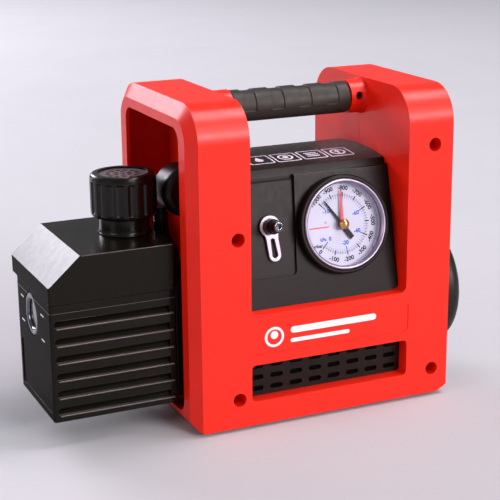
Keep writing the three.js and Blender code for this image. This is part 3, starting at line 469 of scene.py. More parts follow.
def piece(name, mesh, body, look, replaces=(), edge=0.0, segments=3, limit=20, smooth=38):
    """Rounds the sharp edges, turns the bmesh into an object in metres and ties it to its body."""
    made = plain_object(mesh)
    made.name = name
    if edge:
        bevel = made.modifiers.new("edges", "BEVEL")
        bevel.width = edge
        bevel.segments = segments
        bevel.limit_method = "ANGLE"
        bevel.angle_limit = math.radians(limit)
        bevel.miter_outer = "MITER_ARC"
        graph = bpy.context.evaluated_depsgraph_get()
        rough = made.data
        made.data = bpy.data.meshes.new_from_object(made.evaluated_get(graph))
        made.modifiers.clear()
        bpy.data.meshes.remove(rough)
    flat = bmesh.new()
    flat.from_mesh(made.data)
    split_wide_faces(flat)
    flat.to_mesh(made.data)
    flat.free()
    made.data.name = name
    made.data.transform(Matrix.Scale(MM, 4))
    made.data.shade_smooth()
    made.data.set_sharp_from_angle(angle=math.radians(smooth))
    made.modifiers.new("weighted", "WEIGHTED_NORMAL").keep_sharp = True
    made.data.materials.clear()
    made.data.materials.append(look)
    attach(made, body)
    if replaces:
        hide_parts(*replaces)


# ------------------------------------------------------------------ carrying frame
def end_view(inset):
    """The frame's arched outline from the end, running on below the floor."""
    half = DEPTH - inset
    return rounded(-half, half, LIFT - 60, TOP - inset, TOP_CORNER - inset, 14)


def front_view(inset):
    """The frame's outline from the front: two posts with a bay between them."""
    left = LEFT + inset
    right = RIGHT - inset
    low = LIFT + inset
    corner = FOOT_CORNER - inset
    right_corner = RIGHT_FOOT_CORNER - inset
    bay_left = BAY_LEFT - inset
    bay_right = BAY_RIGHT + inset
    sill = SILL - inset
    above = TOP + 20
    fillet = BAY_FILLET
    return (
        arc(left + corner, low + corner, corner, 180, 270, 10)
        + arc(right - right_corner, low + right_corner, right_corner, -90, 0, 14)
        + [(right, above), (bay_right, above)]
        + arc(bay_right - fillet, sill + fillet, fillet, 0, -90, 8)
        + arc(bay_left + fillet, sill + fillet, fillet, -90, -180, 8)
        + [(bay_left, above), (left, above)]
    )


def frame_block(inset):
    """The frame's outside, or its inside when inset by the wall: an end view crossed with a front view."""
    long = loft(
        [
            (LEFT + inset, end_view(inset + BEVEL_INSET)),
            (LEFT + inset + BEVEL_LENGTH, end_view(inset)),
            (RIGHT - inset - BEVEL_LENGTH, end_view(inset)),
            (RIGHT - inset, end_view(inset + BEVEL_INSET)),
        ]
    )
    return carve(long, keep=[prism(front_view(inset), "Y", -DEPTH - 1, DEPTH + 1)])


def carrying_frame():
    """The whole frame: walls, window surrounds, handle sockets, screw posts and holes."""
    opening = rounded(**END_OPENING)
    cuts = [
        prism(opening, "X", LEFT - 1, LEFT + 2 * WALL),
        prism(opening, "X", RIGHT - 2 * WALL, RIGHT + 1),
    ]
    well = -PANEL_FOOT + 1
    inside = BAY_FILLET + 0.5
    cuts.append(block(BAY_LEFT + inside, BAY_RIGHT - inside, -well, well, SILL - 10, SILL + 1))
    motor_way = MOTOR_RADIUS + 2.5
    for at in (BAY_LEFT - 5, BAY_RIGHT - 2):
        cuts.append(rod("X", at, at + 7, 0, AXIS_HEIGHT, motor_way, 64))
    cuts.append(rod("X", BAY_LEFT - 5, BAY_LEFT + 2, 0, INTAKE_HEIGHT, 5, 32))

    window = rounded(**VENT)
    surround = rounded(**grown(VENT, 2.5))
    label = rounded(**LABEL)
    adds = [
        prism(surround, "Y", FRONT + 1, FRONT + VENT_DEPTH - GAP),
        prism(surround, "Y", DEPTH - VENT_DEPTH + GAP, DEPTH - 1),
    ]
    cuts.append(prism(window, "Y", FRONT - 1, FRONT + VENT_DEPTH + 1))
    cuts.append(prism(window, "Y", DEPTH - VENT_DEPTH - 1, DEPTH + 1))
    cuts.append(prism(label, "Y", FRONT - 1, FRONT + 0.8))
    left_end = BAY_LEFT + LEFT_COLLAR
    right_end = BAY_RIGHT - RIGHT_COLLAR
    adds.append(collar(BAY_LEFT - 1, left_end, 1))
    adds.append(collar(right_end, BAY_RIGHT + 1, -1))
    way = TUBE_RADIUS + GAP
    cuts.append(rod("X", BAY_LEFT - 5, left_end + 1, 0, HANDLE_HEIGHT, way))
    cuts.append(rod("X", right_end - 1, BAY_RIGHT + 5, 0, HANDLE_HEIGHT, way))
    cuts.append(rod("Y", -20, -TUBE_RADIUS - 0.2, *COLLAR_SCREW, 3.4, 32))
    for x, height in SHELL_SCREWS:
        z = LIFT + height
        adds.append(rod("Y", FRONT + 1, FRONT + SCREW_DEPTH + 5, x, z, 8))
        adds.append(rod("Y", FRONT + SCREW_DEPTH + 4, DEPTH - 1, x, z, 4.5, 32))
        cuts.append(rod("Y", FRONT - 1, FRONT + SCREW_DEPTH, x, z, 5.5))
        cuts.append(rod("Y", FRONT + SCREW_DEPTH - 1, 30, x, z, 2.6, 24))
    for x, y in FOOT_PLACES:
        cuts.append(rod("Z", LIFT - 1, LIFT + WALL + 1, x, y, 3.2, 24))
    walls = carve(frame_block(0), cut=[frame_block(WALL)])
    return carve(walls, add=adds, cut=cuts)


def collar(start, end, side):
    """A socket for the handle that swells a little where it leaves its post."""
    root, mouth = (start, end) if side > 0 else (end, start)
    profile = [(0, root), (COLLAR_RADIUS + 1.2, root)]
    profile += [(COLLAR_RADIUS + 0.9, root + side * 2.2), (COLLAR_RADIUS, root + side * 5)]
    profile += [(COLLAR_RADIUS, mouth), (0, mouth)]
    return turned(profile, "X", (0, 0, HANDLE_HEIGHT), 64)


def add_shells():
    far = 300
    for name, low, high in (("front_shell", -far, -HALF_PARTING), ("back_shell", HALF_PARTING, far)):
        half = carve(carrying_frame(), keep=[block(-far, far, low, high, -far, far)])
        piece(name + "_moulding", half, "chassis", RED, [name], edge=0.8)


# ------------------------------------------------------------------ grilles, feet and screws
def add_grilles():
    """Slotted plates behind the two vent windows, each backed by a near-black sheet of painted shade that
    darkens its slots.
    """
    middle_x = (VENT["left"] + VENT["right"]) / 2
    middle_z = (VENT["bottom"] + VENT["top"]) / 2
    for name in ("front_grille", "back_grille"):
        low, high = extent(name)[2:4]
        outline = rounded(VENT["left"] - 2, VENT["right"] + 2, VENT["bottom"] - 2, VENT["top"] + 2, 3)
        slots = []
        for column in range(8):
            for row in range(3):
                slot = stadium(middle_x + (column - 3.5) * 17, middle_z + (row - 1) * 9.3, 5.6, 2)
                slots.append(prism(slot, "Y", low - 1, high + 1))
        plate = carve(prism(outline, "Y", low, high), cut=slots, merge=False)
        piece(name + "_plate", plate, "chassis", COVER, [name])
        # A near-black sheet at the back of the plate: painted shade seen through the slots.
        sheet = 0.5
        inner = high - sheet if name == "front_grille" else low
        shadow_sheet = prism(outline, "Y", inner, inner + sheet)
        piece(name + "_shadow_sheet", shadow_sheet, "chassis", SHADE_BLACK)


def add_feet():
    profile = [(0, 0), (8.6, 0), (9.4, 0.3), (9.9, 1), (10.4, 2.2), (10.4, 2.5), (10.1, 2.7)]
    profile += [(2.9, 2.7), (2.9, 6.3), (4, 6.3), (3.6, 7.4), (2.4, 9.4), (1.6, 10), (0, 10)]
    names = ["left_front_foot", "left_back_foot", "right_front_foot", "right_back_foot"]
    for name, (x, y) in zip(names, FOOT_PLACES):
        piece(name + "_pad", turned(profile, "Z", (x, y, 0)), "chassis", RUBBER, [name])


def screw_head(radius, height, recess):
    """A pan head standing on the origin with a six-sided recess."""
    profile = [(0, 0), (radius, 0), (radius, height * 0.55), (radius * 0.86, height * 0.88)]
    profile += [(radius * 0.6, height), (0, height)]
    socket = rod("Z", height * 0.35, height + 1, 0, 0, recess, 6)
    return carve(turned(profile, sides=40), cut=[socket])


def add_screws():
    """Screws in the shells' deep holes and in the socket of the handle."""
    outwards = Matrix.Rotation(math.pi / 2, 4, "X")
    for index, (x, height) in enumerate(SHELL_SCREWS):
        seat = Matrix.Translation((x, FRONT + SCREW_DEPTH, LIFT + height))
        head = moved(screw_head(4.6, 3.2, 2.2), seat @ outwards)
        shank = rod("Y", FRONT + SCREW_DEPTH - 0.1, 26, x, LIFT + height, 2.2, 24)
        whole = carve(head, add=[shank])
        piece(f"shell_screw_{index + 1}", whole, "chassis", DARK_STEEL, edge=0.2, segments=2)
    x, z = COLLAR_SCREW
    seat = Matrix.Translation((x, -TUBE_RADIUS - 0.25, z))
    head = moved(screw_head(3.1, 2.4, 1.5), seat @ outwards)
    piece("handle_screw", head, "chassis", DARK_STEEL, edge=0.15, segments=2)


# ------------------------------------------------------------------ carrying handle
def add_handle():
    """The grip sleeve with its four shallow recesses, on its tube."""
    x0, x1 = extent("handle_grip")[:2]
    bore = TUBE_RADIUS + GAP
    waist = GRIP_RADIUS - 1.2
    profile = [(bore, x0), (waist, x0), (GRIP_RADIUS - 0.4, x0 + 0.6), (GRIP_RADIUS, x0 + 1.6)]
    profile += [(GRIP_RADIUS, x1 - 1.6), (GRIP_RADIUS - 0.4, x1 - 0.6), (waist, x1), (bore, x1), (bore, x0)]
    windows = []
    for index in range(4):
        middle = 2.5 + 24.4 * index
        sector = arc(0, HANDLE_HEIGHT, GRIP_RADIUS + 2, -14.6, 194.6, 48)
        sector += arc(0, HANDLE_HEIGHT, GRIP_RADIUS - 1, 194.6, -14.6, 48)
        windows.append(prism(sector, "X", middle - 5.3, middle + 5.3))
    grip = carve(turned(profile, "X", (0, 0, HANDLE_HEIGHT), 96), cut=windows)
    piece("grip_sleeve", grip, "chassis", RUBBER, ["handle_grip"], edge=0.4, limit=30)
    low, high = extent("handle_tube")[:2]
    tube = ring_bar("X", low, high, 0, HANDLE_HEIGHT, TUBE_RADIUS - 1.5, TUBE_RADIUS)
    piece("handle_pipe", tube, "chassis", STEEL, ["handle_tube"], edge=0.3, segments=2)


# ------------------------------------------------------------------ motor cover
def lean(z):
    """How far forward the leaning front of the cover stands at a height."""
    return PANEL_FOOT + math.tan(LEAN) * (z - SILL)


def cover_outline(inset, floor):
    """The motor cover from the end: leaning faces, a gutter behind each top lip, and an arched top."""
    half = ARCH_HALF - inset / 2
    bow = math.degrees(math.asin(half / ARCH_RADIUS))
    top = arc(0, CROWN - inset - ARCH_RADIUS, ARCH_RADIUS, 90 + bow, 90 - bow, 24)
    if inset:
        side = [(lean(floor) + inset, floor), (lean(LIFT + 184) + inset, LIFT + 184)]
    else:
        side = [(lean(floor), floor), (lean(LIFT + 187.9), LIFT + 187.9)]
        side += [(-47.6, LIFT + 188.9), (-46.9, LIFT + 189.5), (-46.1, LIFT + 189.6)]
        side += [(-45.5, LIFT + 189.2), (-45.1, LIFT + 188.4), (-45, LIFT + 186.2), (-43.9, LIFT + 186.2)]
        side += [(-43.3, LIFT + 188.9), (-41.8, SHOULDER - 1.6), (-41.3, SHOULDER - 0.6)]
    mirrored = [(-y, z) for y, z in reversed(side)]
    return side + top + mirrored


def add_motor_cover():
    """The hollow cover, with a pocket for the valve and holes for the gauge, the valve and the motor."""
    left, right = COVER_LEFT, COVER_RIGHT
    floor = extent("motor_cover")[4]
    far = 90
    corner = BAY_FILLET
    narrow = 5.8
    sill = SILL + GAP
    front = (
        [(left + narrow, floor), (right - narrow, floor), (right - narrow, sill + 0.4)]
        + arc(right - corner, sill + corner, corner, -80, 0, 10)
        + [(right, LIFT + 240), (left, LIFT + 240)]
        + arc(left + corner, sill + corner, corner, 180, 260, 10)
        + [(left + narrow, sill + 0.4)]
    )
    shape = carve(
        prism(cover_outline(0, floor), "X", left, right),
        keep=[prism(front, "Y", -far, far)],
        cut=[prism(cover_outline(4, floor - 1), "X", left + 6.5, right - 6.5)],
    )
    upper = prism(cover_outline(4, SILL + 14), "X", left + 3, right - 3)

    def up(height):
        """Distance up the leaning panel from the gauge's centre."""
        return (height - GAUGE[1]) / math.cos(LEAN)

    def floor_at(z):
        """Where the pocket's floor stands at a height."""
        share = (z - POCKET["bottom"]) / (LIFT + 188 - POCKET["bottom"])
        depth = POCKET["depth"] + share * (POCKET["depth_top"] - POCKET["depth"])
        return lean(z) + depth / math.cos(LEAN)

    start, top = left - 20 - GAUGE[0], up(LIFT + 200)
    low, corner = up(POCKET["bottom"]), 3
    foot, head = POCKET["right"] - GAUGE[0], POCKET["right_top"] - GAUGE[0]
    outline = [(start, low)] + arc(foot - corner, low + corner, corner, -90, 0, 8)
    outline += [(head, top), (start, top)]
    front_space = [(-far, LIFT + 100), (floor_at(LIFT + 100), LIFT + 100)]
    front_space += [(floor_at(LIFT + 184.6), LIFT + 184.6)]
    lip = [(-45.6, 185.5), (-45.2, 185.6), (-44.9, 185.3), (-44.8, 182.8)]
    lip += [(-44.1, 182.8), (-43.9, 185.9), (-43.2, 189.5), (-43.2, 210), (-far, 210)]
    front_space += [(y, LIFT + height) for y, height in lip]
    space = prism(front_space, "X", left - 30, right)
    pocket = carve(on_panel(prism(outline, "Z", -14, 14), GAUGE), keep=[space])
    cuts = [
        upper,
        pocket,
        on_panel(rod("Z", -10, 10, 0, 0, GAUGE_COLLAR - 1.2, 96), GAUGE),
        on_panel(rod("Z", -12, 10, 0, 0, 9.5, 48), VALVE),
        rod("X", left - 1, right + 1, 0, AXIS_HEIGHT, MOTOR_RADIUS + 2.5, 96),
        rod("X", left - 1, left + 8, 0, INTAKE_HEIGHT, 5, 32),
    ]
    cover = carve(shape, cut=cuts)
    piece("motor_cover_moulding", cover, "chassis", COVER, ["motor_cover"], edge=0.7)
    add_pictograms()


def on_arch(mesh, x, y):
    """Bends a flat decal onto the arched top, centred at x, y."""
    for vertex in mesh.verts:
        vertex.co.x += x
        vertex.co.y += y
        vertex.co.z += CROWN - ARCH_RADIUS + math.sqrt(ARCH_RADIUS**2 - vertex.co.y**2)
    return mesh


def hoop(outer, inner, low, high):
    """A flat closed band between two outlines with equal point counts."""
    rings = []
    for outline, z in ((outer, low), (outer, high), (inner, high), (inner, low)):
        rings.append([(a, b, z) for a, b in outline])
    return skin(rings, closed=True)


def square_outline(half, corner, steps=5, straight=4):
    """A rounded square whose straight sides are split, so that it can be bent."""
    points = rounded(-half, half, -half, half, corner, steps)
    dense = []
    for (x0, y0), (x1, y1) in zip(points, points[1:] + points[:1]):
        parts = straight if math.hypot(x1 - x0, y1 - y0) > 2 * corner else 1
        dense += [(x0 + (x1 - x0) * i / parts, y0 + (y1 - y0) * i / parts) for i in range(parts)]
    return dense


def add_pictograms():
    """A row of plain outlined symbols: bar in a ring, oil drop, disc in a ring, bars, arrow in a ring."""
    low, high = -0.05, 0.06
    first, pitch, y = -18, 23.6, -19
    marks = []

    def place(outline, x, y):
        marks.append(on_arch(prism(outline, "Z", low, high), x, y))

    for index in range(5):
        x = first + pitch * index
        outer, inner = square_outline(10.6, 1.8), square_outline(9.5, 1.1)
        marks.append(on_arch(hoop(outer, inner, low, high), x, y))
        circle = arc(0, 0, 6.6, 0, 352, 44)
        small = arc(0, 0, 4.9, 0, 352, 44)
        if index in (0, 2, 4):
            marks.append(on_arch(hoop(circle, small, low, high), x, y))
        if index == 0:
            place([(-1, -3.6), (1, -3.6), (1, 3.6), (-1, 3.6)], x, y)
        elif index == 1:
            place(arc(0, -1.6, 3.4, 150, 390, 20) + [(0, 6)], x, y)
        elif index == 2:
            place(arc(0, 0, 2.6, 0, 350, 30), x, y)
        elif index == 3:
            for shift in (-4, 0, 4):
                place(rounded(-5.6, 5.6, shift - 0.9, shift + 0.9, 0.8, 4), x, y)
        else:
            arrow = [(-0.8, -4), (0.8, -4), (0.8, 0.8), (2.8, 0.8), (0, 4.2), (-2.8, 0.8), (-0.8, 0.8)]
            place(arrow, x, y)
    piece("cover_pictograms", merged(marks), "chassis", MARK_GREY)


# ------------------------------------------------------------------ vacuum gauge
def on_panel(mesh, place):
    """Moves a mesh drawn flat, with Z outwards and Y upwards, to its place on the leaning panel."""
    x, z = place
    turn = Matrix.Rotation(math.pi / 2 - LEAN, 4, "X")
    return moved(mesh, Matrix.Translation((x, lean(z), z)) @ turn)


def turned_on_panel(profile, place, sides=96):
    return on_panel(turned(profile, sides=sides), place)


def spin(mesh, degrees):
    return moved(mesh, Matrix.Rotation(math.radians(degrees), 4, "Z"))


def tick(angle, inner, outer, half, low=-0.2, high=-0.14):
    """One line of the scale."""
    bar = prism([(inner, -half), (outer, -half), (outer, half), (inner, half)], "Z", low, high)
    return spin(bar, angle)


def figure(text, angle, radius, size, turn):
    """A number on the dial: placed at an angle and turned by a further one, in degrees."""
    label = spin(lettering(text, size, 0.06), turn)
    shift = Vector((math.cos(math.radians(angle)), math.sin(math.radians(angle)), 0)) * radius
    return moved(label, Matrix.Translation(shift + Vector((0, 0, -0.17))))


def scale_angle(share):
    """Where a share of the full scale stands on the dial, in degrees from its right-hand side."""
    return 225 + 270 * share


def pointer(length, root, tip, tail, tail_half, hub, low, high, degrees):
    """A tapering hand with a round hub and a tail."""
    blade = prism([(0, -root), (length, -tip), (length, tip), (0, root)], "Z", low, high)
    disc = rod("Z", low, high, 0, 0, hub, 48)
    end = prism([(-tail, -tail_half), (0, -tail_half), (0, tail_half), (-tail, tail_half)], "Z", low, high)
    return spin(carve(blade, add=[disc, end], cut=[rod("Z", low - 1, high + 1, 0, 0, 1.2, 24)]), degrees)


def add_gauge_body():
    """Bowl, bezel, inner ring, window and dial."""
    outer, seat, bore = GAUGE_COLLAR, BEZEL_RADIUS + 0.3, DIAL_RADIUS + 0.4
    case = [(0, -22), (outer - 1.6, -22), (outer - 1.6, 0.3), (outer - 0.2, 0.3), (outer, 0.6)]
    case += [(outer, 6), (outer - 0.4, 7.2), (outer - 1.3, 8), (seat + 0.5, 8), (seat, 7.6)]
    case += [(seat, 5.5), (bore, 5.5), (bore, -20), (0, -20)]
    bowl = carve(
        turned(case, sides=128),
        add=[rod("Z", -34, -21, 0, -15, 5)],
        cut=[rod("Z", -35, -19, 0, -15, 2.8, 32)],
    )
    piece("gauge_bowl", on_panel(bowl, GAUGE), "chassis", COLLAR_BLACK, ["gauge_case"])
    outer, inner = BEZEL_RADIUS, DIAL_RADIUS - 1
    bezel = [(inner, 5.8), (outer, 5.8), (outer, 7.6), (outer - 0.15, 8.4), (outer - 0.6, 9)]
    bezel += [(outer - 1.2, 9.2), (outer - 1.8, 9.05), (inner + 0.9, 8.6), (inner + 0.6, 8)]
    bezel += [(inner + 0.3, 7.6), (inner, 7.3), (inner, 5.8)]
    made = turned_on_panel(bezel, GAUGE, 128)
    piece("gauge_bezel_ring", made, "chassis", BEZEL, ["gauge_bezel"], smooth=60)
    wall = ring_bar("Z", -0.2, 3.35, 0, 0, DIAL_RADIUS - 0.6, DIAL_RADIUS + 0.35, 128)
    piece("gauge_inner_ring", on_panel(wall, GAUGE), "chassis", PALE_RING, smooth=60)
    edge = DIAL_RADIUS - 0.1
    lens = [(2.3, 3.4), (edge, 3.4), (edge, 5), (edge - 0.2, 5.2), (2.3, 5.2), (2.3, 3.4)]
    made = turned_on_panel(lens, GAUGE, 96)
    piece("gauge_window", made, "chassis", CLEAR, ["gauge_lens"])
    disc = ring_bar("Z", -1, -0.2, 0, 0, 1.4, DIAL_RADIUS, 96)
    face = carve(disc, cut=[rod("Z", -2, 1, *DIAL_PIN, 0.9, 24)])
    piece("dial_face", on_panel(face, GAUGE), "chassis", DIAL, ["gauge_dial"])


def add_dial_marks():
    """The outer scale and its figures in black, the inner ones in blue, a red bar and a brass pin."""
    black, blue = [], []
    for step in range(101):
        angle = scale_angle(step / 100)
        if step % 10 == 0:
            black.append(tick(angle, 21.6, 25.4, 0.45))
        elif step % 2 == 0:
            black.append(tick(angle, 22.3, 24.2, 0.2))
        else:
            black.append(tick(angle, 22.3, 23.4, 0.12))
    for step in range(51):
        angle = scale_angle(step / 50)
        major = step % 10 == 0
        blue.append(tick(angle, 18.4 if major else 20.4, 22, 0.4 if major else 0.14, high=-0.15))
    stop = arc(0, 0, 32.9, 196, 214, 12) + arc(0, 0, 32.3, 214, 196, 12)
    black.append(prism(stop, "Z", -0.2, -0.14))
    for index in range(11):
        angle = scale_angle(index / 10)
        turn = angle - 90 if (angle + 10) % 360 < 170 else angle + 90
        text = "0" if index == 0 else f"-{100 * index}"
        black.append(figure(text, angle, 28.6, 4.9, turn))
    for index in range(6):
        angle = scale_angle(index / 5)
        text = "0" if index == 0 else f"-{20 * index}"
        if index != 4:
            blue.append(figure(text, angle, 15.6 if index else 15.2, 4.5, 4))
    units = lettering("mbar", 3.7, 0.06)
    black.append(moved(units, Matrix.Translation((-21.6, -15.6, -0.17))))
    units = lettering("kPa", 3.7, 0.06)
    blue.append(moved(units, Matrix.Translation((-16.8, -10.9, -0.17))))
    marks = on_panel(merged(black), GAUGE)
    piece("dial_marks_black", marks, "chassis", MARK_BLACK)
    marks = on_panel(merged(blue), GAUGE)
    piece("dial_marks_blue", marks, "chassis", MARK_BLUE)
    bar = prism(stadium(-19.5, -1.2, 8.8, 0.45, 4), "Z", -0.2, -0.14)
    piece("dial_mark_red", on_panel(bar, GAUGE), "chassis", POINTER_RED)
    pin = turned([(0, -0.6), (0.85, -0.6), (0.85, 0), (0.6, 0.25), (0, 0.35)], sides=24)
    seat = Matrix.Translation((*DIAL_PIN, 0))
    piece("dial_pin", on_panel(moved(pin, seat), GAUGE), "chassis", BRASS)


def add_pointers():
    """The black needle, and the red set pointer with its brass knob."""
    needle = pointer(23.4, 1.5, 0.4, 14.5, 2.1, 3.4, 1, 1.6, NEEDLE_ANGLE)
    made = on_panel(needle, GAUGE)
    body = "gauge_hand"
    piece("needle_hand", made, body, MARK_BLACK, ["gauge_needle"], edge=0.12, segments=2)
    marker = pointer(27, 1.4, 0.5, 4.2, 0.9, 3.2, 2, 2.5, SET_ANGLE)
    made = on_panel(marker, GAUGE)
    body = "set_hand"
    piece("set_hand_blade", made, body, POINTER_RED, ["set_pointer"], edge=0.1, segments=2)
    knob = [(0, 1.9), (1.2, 1.9), (1.2, 2.8), (1.8, 2.8), (1.8, 5.5), (3.9, 5.5), (4.1, 5.7), (4.1, 6.9)]
    knob += [(3.9, 7.3), (3.3, 8.1), (2.5, 8.8), (1.7, 9.3), (0.8, 9.6), (0, 9.7)]
    made = turned_on_panel(knob, GAUGE, 64)
    piece("set_hand_knob", made, body, BRASS, ["pointer_knob"], smooth=50)


# ------------------------------------------------------------------ isolating valve
def add_valve():
    """Gland, spindle, slotted lever and its screw."""
    gland = on_panel(ring_bar("Z", -4.2, -3, 0, 0, 6.4, 9.4, 64), VALVE)
    piece("valve_gland", gland, "chassis", COLLAR_BLACK)
    spindle = [(0, -17), (2.5, -17), (2.5, -6.4), (6, -6.4), (6, 7.2), (5.6, 8.1), (5, 8.6)]
    spindle += [(5, 12.4), (4.6, 13), (2.2, 13), (2.2, 9), (0, 9)]
    made = turned_on_panel(spindle, VALVE, 64)
    body = "valve_handle"
    piece("valve_stem", made, body, SPINDLE, ["valve_spindle"], smooth=30)
    reach = 22.6
    eye = arc(0, 0, 8.5, -48, 228, 56)
    blend = [(-5.2, -8.6), (-5, -10.5), (-5, -13)]
    tip = arc(0, -reach, 5, 180, 360, 28)
    lever = eye + blend + tip + [(5, -13), (5, -10.5), (5.2, -8.6)]
    slot = arc(0, -reach, 2.6, 180, 360, 20) + arc(0, -11.2, 1.9, 0, 180, 20)
    plate = carve(
        prism(lever, "Z", -1.4, 0.8),
        cut=[rod("Z", -3, 3, 0, 0, 6.3, 64), prism(slot, "Z", -3, 3)],
    )
    made = on_panel(spin(plate, LEVER_TILT), VALVE)
    piece("valve_lever_plate", made, body, LEVER, ["valve_lever"], edge=0.45)
    head = [(0, 9.3), (1.9, 9.3), (1.9, 13.3), (4.2, 13.3), (4.2, 16.4), (3.9, 17), (3.3, 17.2), (0, 17.2)]
    screw = carve(turned(head, sides=48), cut=[rod("Z", 14.6, 18, 0, 0, 2, 6)])
    made = on_panel(screw, VALVE)
    piece("valve_screw", made, body, SIGHT, ["lever_screw"], edge=0.15, segments=2)


# ------------------------------------------------------------------ intake
def about_y(profile, x, z, sides=72):
    return turned(profile, "Y", (x, 0, z), sides)


def add_intake():
    """The round intake body on its riser, and the capped flare fitting at its back."""
    x, z = INTAKE_X, INTAKE_HEIGHT
    drum = [(0, -14.6), (13.2, -14.6), (13.7, -15.4), (14.4, -15.5), (16.6, -14.8), (18.4, -13.4)]
    drum += [(19.6, -11.6), (20.2, -9.2), (20.2, 8.3), (19.8, 10.6), (18.6, 12.8), (16.6, 14.4)]
    drum += [(13.8, 15.4), (12.8, 15.5), (0, 15.5)]
    body = carve(
        about_y(drum, x, z, 96),
        add=[
            rod("Z", LIFT + 152.8, LIFT + 158.5, RISER_X, 0, 6),
            rod("Z", LIFT + 156, LIFT + 163, RISER_X, 0, 4),
        ],
        cut=[rod("X", x + 10, x + 23, 0, z, 3.1, 32)],
    )
    piece("intake_drum", body, "chassis", GLOSS, ["intake_body"], edge=0.4, limit=50)
    fitting = [(0, 15.8), (7.6, 15.8), (8, 16.2), (8, 21.2), (7.7, 21.5), (5.6, 22.1), (5.6, 30.5)]
    fitting += [(4.6, 31.5), (3, 31.5), (3, 18.5), (0, 18.5)]
    made = about_y(fitting, x, z)
    piece("intake_flare", made, "chassis", BRASS, ["intake_fitting"], smooth=30)
    cap = [(0, 35), (7.4, 35), (7.8, 34.7), (8, 34.1), (8, 23.2), (7.7, 22.9), (6, 22.9), (6, 32.1)]
    cap.append((0, 32.1))
    ribs = [rod("Y", 23.6, 34, *at, 0.55, 12) for at in around(24, x, z, 8.25)]
    knurled = carve(about_y(cap, x, z), cut=ribs)
    piece("intake_cap_nut", knurled, "intake_cover", BRASS, ["intake_cap"], edge=0.1, segments=2)


# ------------------------------------------------------------------ oil case
def add_oil_case():
    """The ribbed casting, the beads along its grooves and its seam, both drawn lighter as painted
    highlights, and the level marks.
    """
    left, right, front, back = CASE_LEFT, CASE_RIGHT, CASE_FRONT, CASE_BACK
    bottom, top = CASE_BOTTOM, CASE_TOP
    wall = CASE_WALL
    cuts = [block(left + wall, right + 1, front + 2 * wall, back - 2 * wall, bottom + wall, top + 1)]
    profile = [(1, 3.4), (-3.6, 3.4), (-4.6, 3.1), (-5, 2.3), (-4.7, 1.2), (-1.6, -1.9), (-1, -2.8)]
    profile += [(-1, -3.4), (1, -3.4)]
    for z in GROOVES:
        for reach, side in ((front, -1), (back, 1)):
            outline = [(reach + side * out, z + up) for out, up in profile]
            groove = prism(outline, "X", left + 2, right - 5.4)
            low, high = sorted((reach - side * 6, reach + side * 2))
            window = arc(left + 6.4, z, 3.45, 90, 270, 12) + [(right, z - 3.45), (right, z + 3.45)]
            cuts.append(carve(groove, keep=[prism(window, "Y", low, high)]))
    panel = rounded(front + 6, back - 6, bottom + 5, LIFT + 61, 2)
    cuts.append(prism(panel, "X", left - 1, left + 0.6))
    cuts.append(rod("X", left - 1, left + 10, 0, SIGHT_HEIGHT, 13.5, 64))
    cuts.append(rod("X", left - 1, left + 2.4, 0, SIGHT_HEIGHT, 17.3, 64))
    cuts.append(rod("Y", back - 20, back + 1, *DRAIN, 5.3))
    cuts.append(rod("Y", back - 20, back + 1, *BALLAST, 3.3))
    cuts.append(block(right - 5.2, right + 1, front - 1, front + 2.4, bottom - 1, top + 1))
    case = carve(prism(rounded(left, right, front, back, 2.2, 6), "Z", bottom, top), cut=cuts)
    split_wide_faces(case)
    piece("oil_case_casting", case, "chassis", PAINT, ["oil_case"], edge=0.4, limit=30)
    # The beads are real lips, drawn in the lighter colour as a painted highlight.
    beads = []
    for z in GROOVES:
        line = bead(left + 5.2, right - 2.4, front, z - 3.3, 0.6)
        web = block(right - 5.4, right - 2.4, front + 0.2, front + 2.6, z - 3.8, z - 2.8)
        beads.append(carve(line, add=[web]))
    piece("oil_case_beads", merged(beads), "chassis", HIGHLIGHT_LINES)
    # The seam is drawn as thin strips in the painted highlight colour.
    z = LIFT + 104.4
    seam = [
        block(left + 1, right - 1, front - 0.14, front + 0.2, z, z + 0.35),
        block(left - 0.14, left + 0.2, front + 1, back - 1, z, z + 0.35),
    ]
    piece("oil_case_seam", merged(seam), "chassis", HIGHLIGHT_LINES)
    marks = []
    for y in (24, -31):
        for z in (LIFT + 98, LIFT + 78):
            marks.append(block(left - 0.1, left + 0.2, y - 4, y + 4, z - 0.6, z + 0.6))
    piece("level_marks", merged(marks), "chassis", MARK_WHITE)


def bead(x0, x1, y, z, radius):
    """A thin raised line with a round left end along the lower lip of a groove."""
    profile = [(0, x0 - radius)]
    profile += [(radius * math.sin(t), x0 - radius * math.cos(t)) for t in (0.5, 1.0)]
    profile += [(radius, x0), (radius, x1), (0, x1)]
    return turned(profile, "X", (0, y + 0.25, z), 16)


def add_sight_glass():
    """The bright ring round the oil window, and its pane."""
    left = CASE_LEFT
    outer = 17
    ring = [(11.5, 2.1), (outer, 2.1), (outer, 1.3), (16.6, 0.6), (15.9, 0.15), (15, 0), (13.9, 0.05)]
    ring += [(13, 0.35), (12.2, 1), (11.7, 1.6), (11.5, 2.1)]
    made = turned(ring, "X", (left, 0, SIGHT_HEIGHT), 96)
    piece("sight_bezel", made, "chassis", SIGHT, ["sight_ring"], smooth=60)
    pane = [(0, 2.5), (6, 2.55), (10, 2.65), (12.6, 2.75), (13.2, 3), (13.2, 5), (0, 5)]
    made = turned(pane, "X", (left, 0, SIGHT_HEIGHT), 96)
    piece("sight_pane", made, "chassis", OIL, ["sight_glass"])


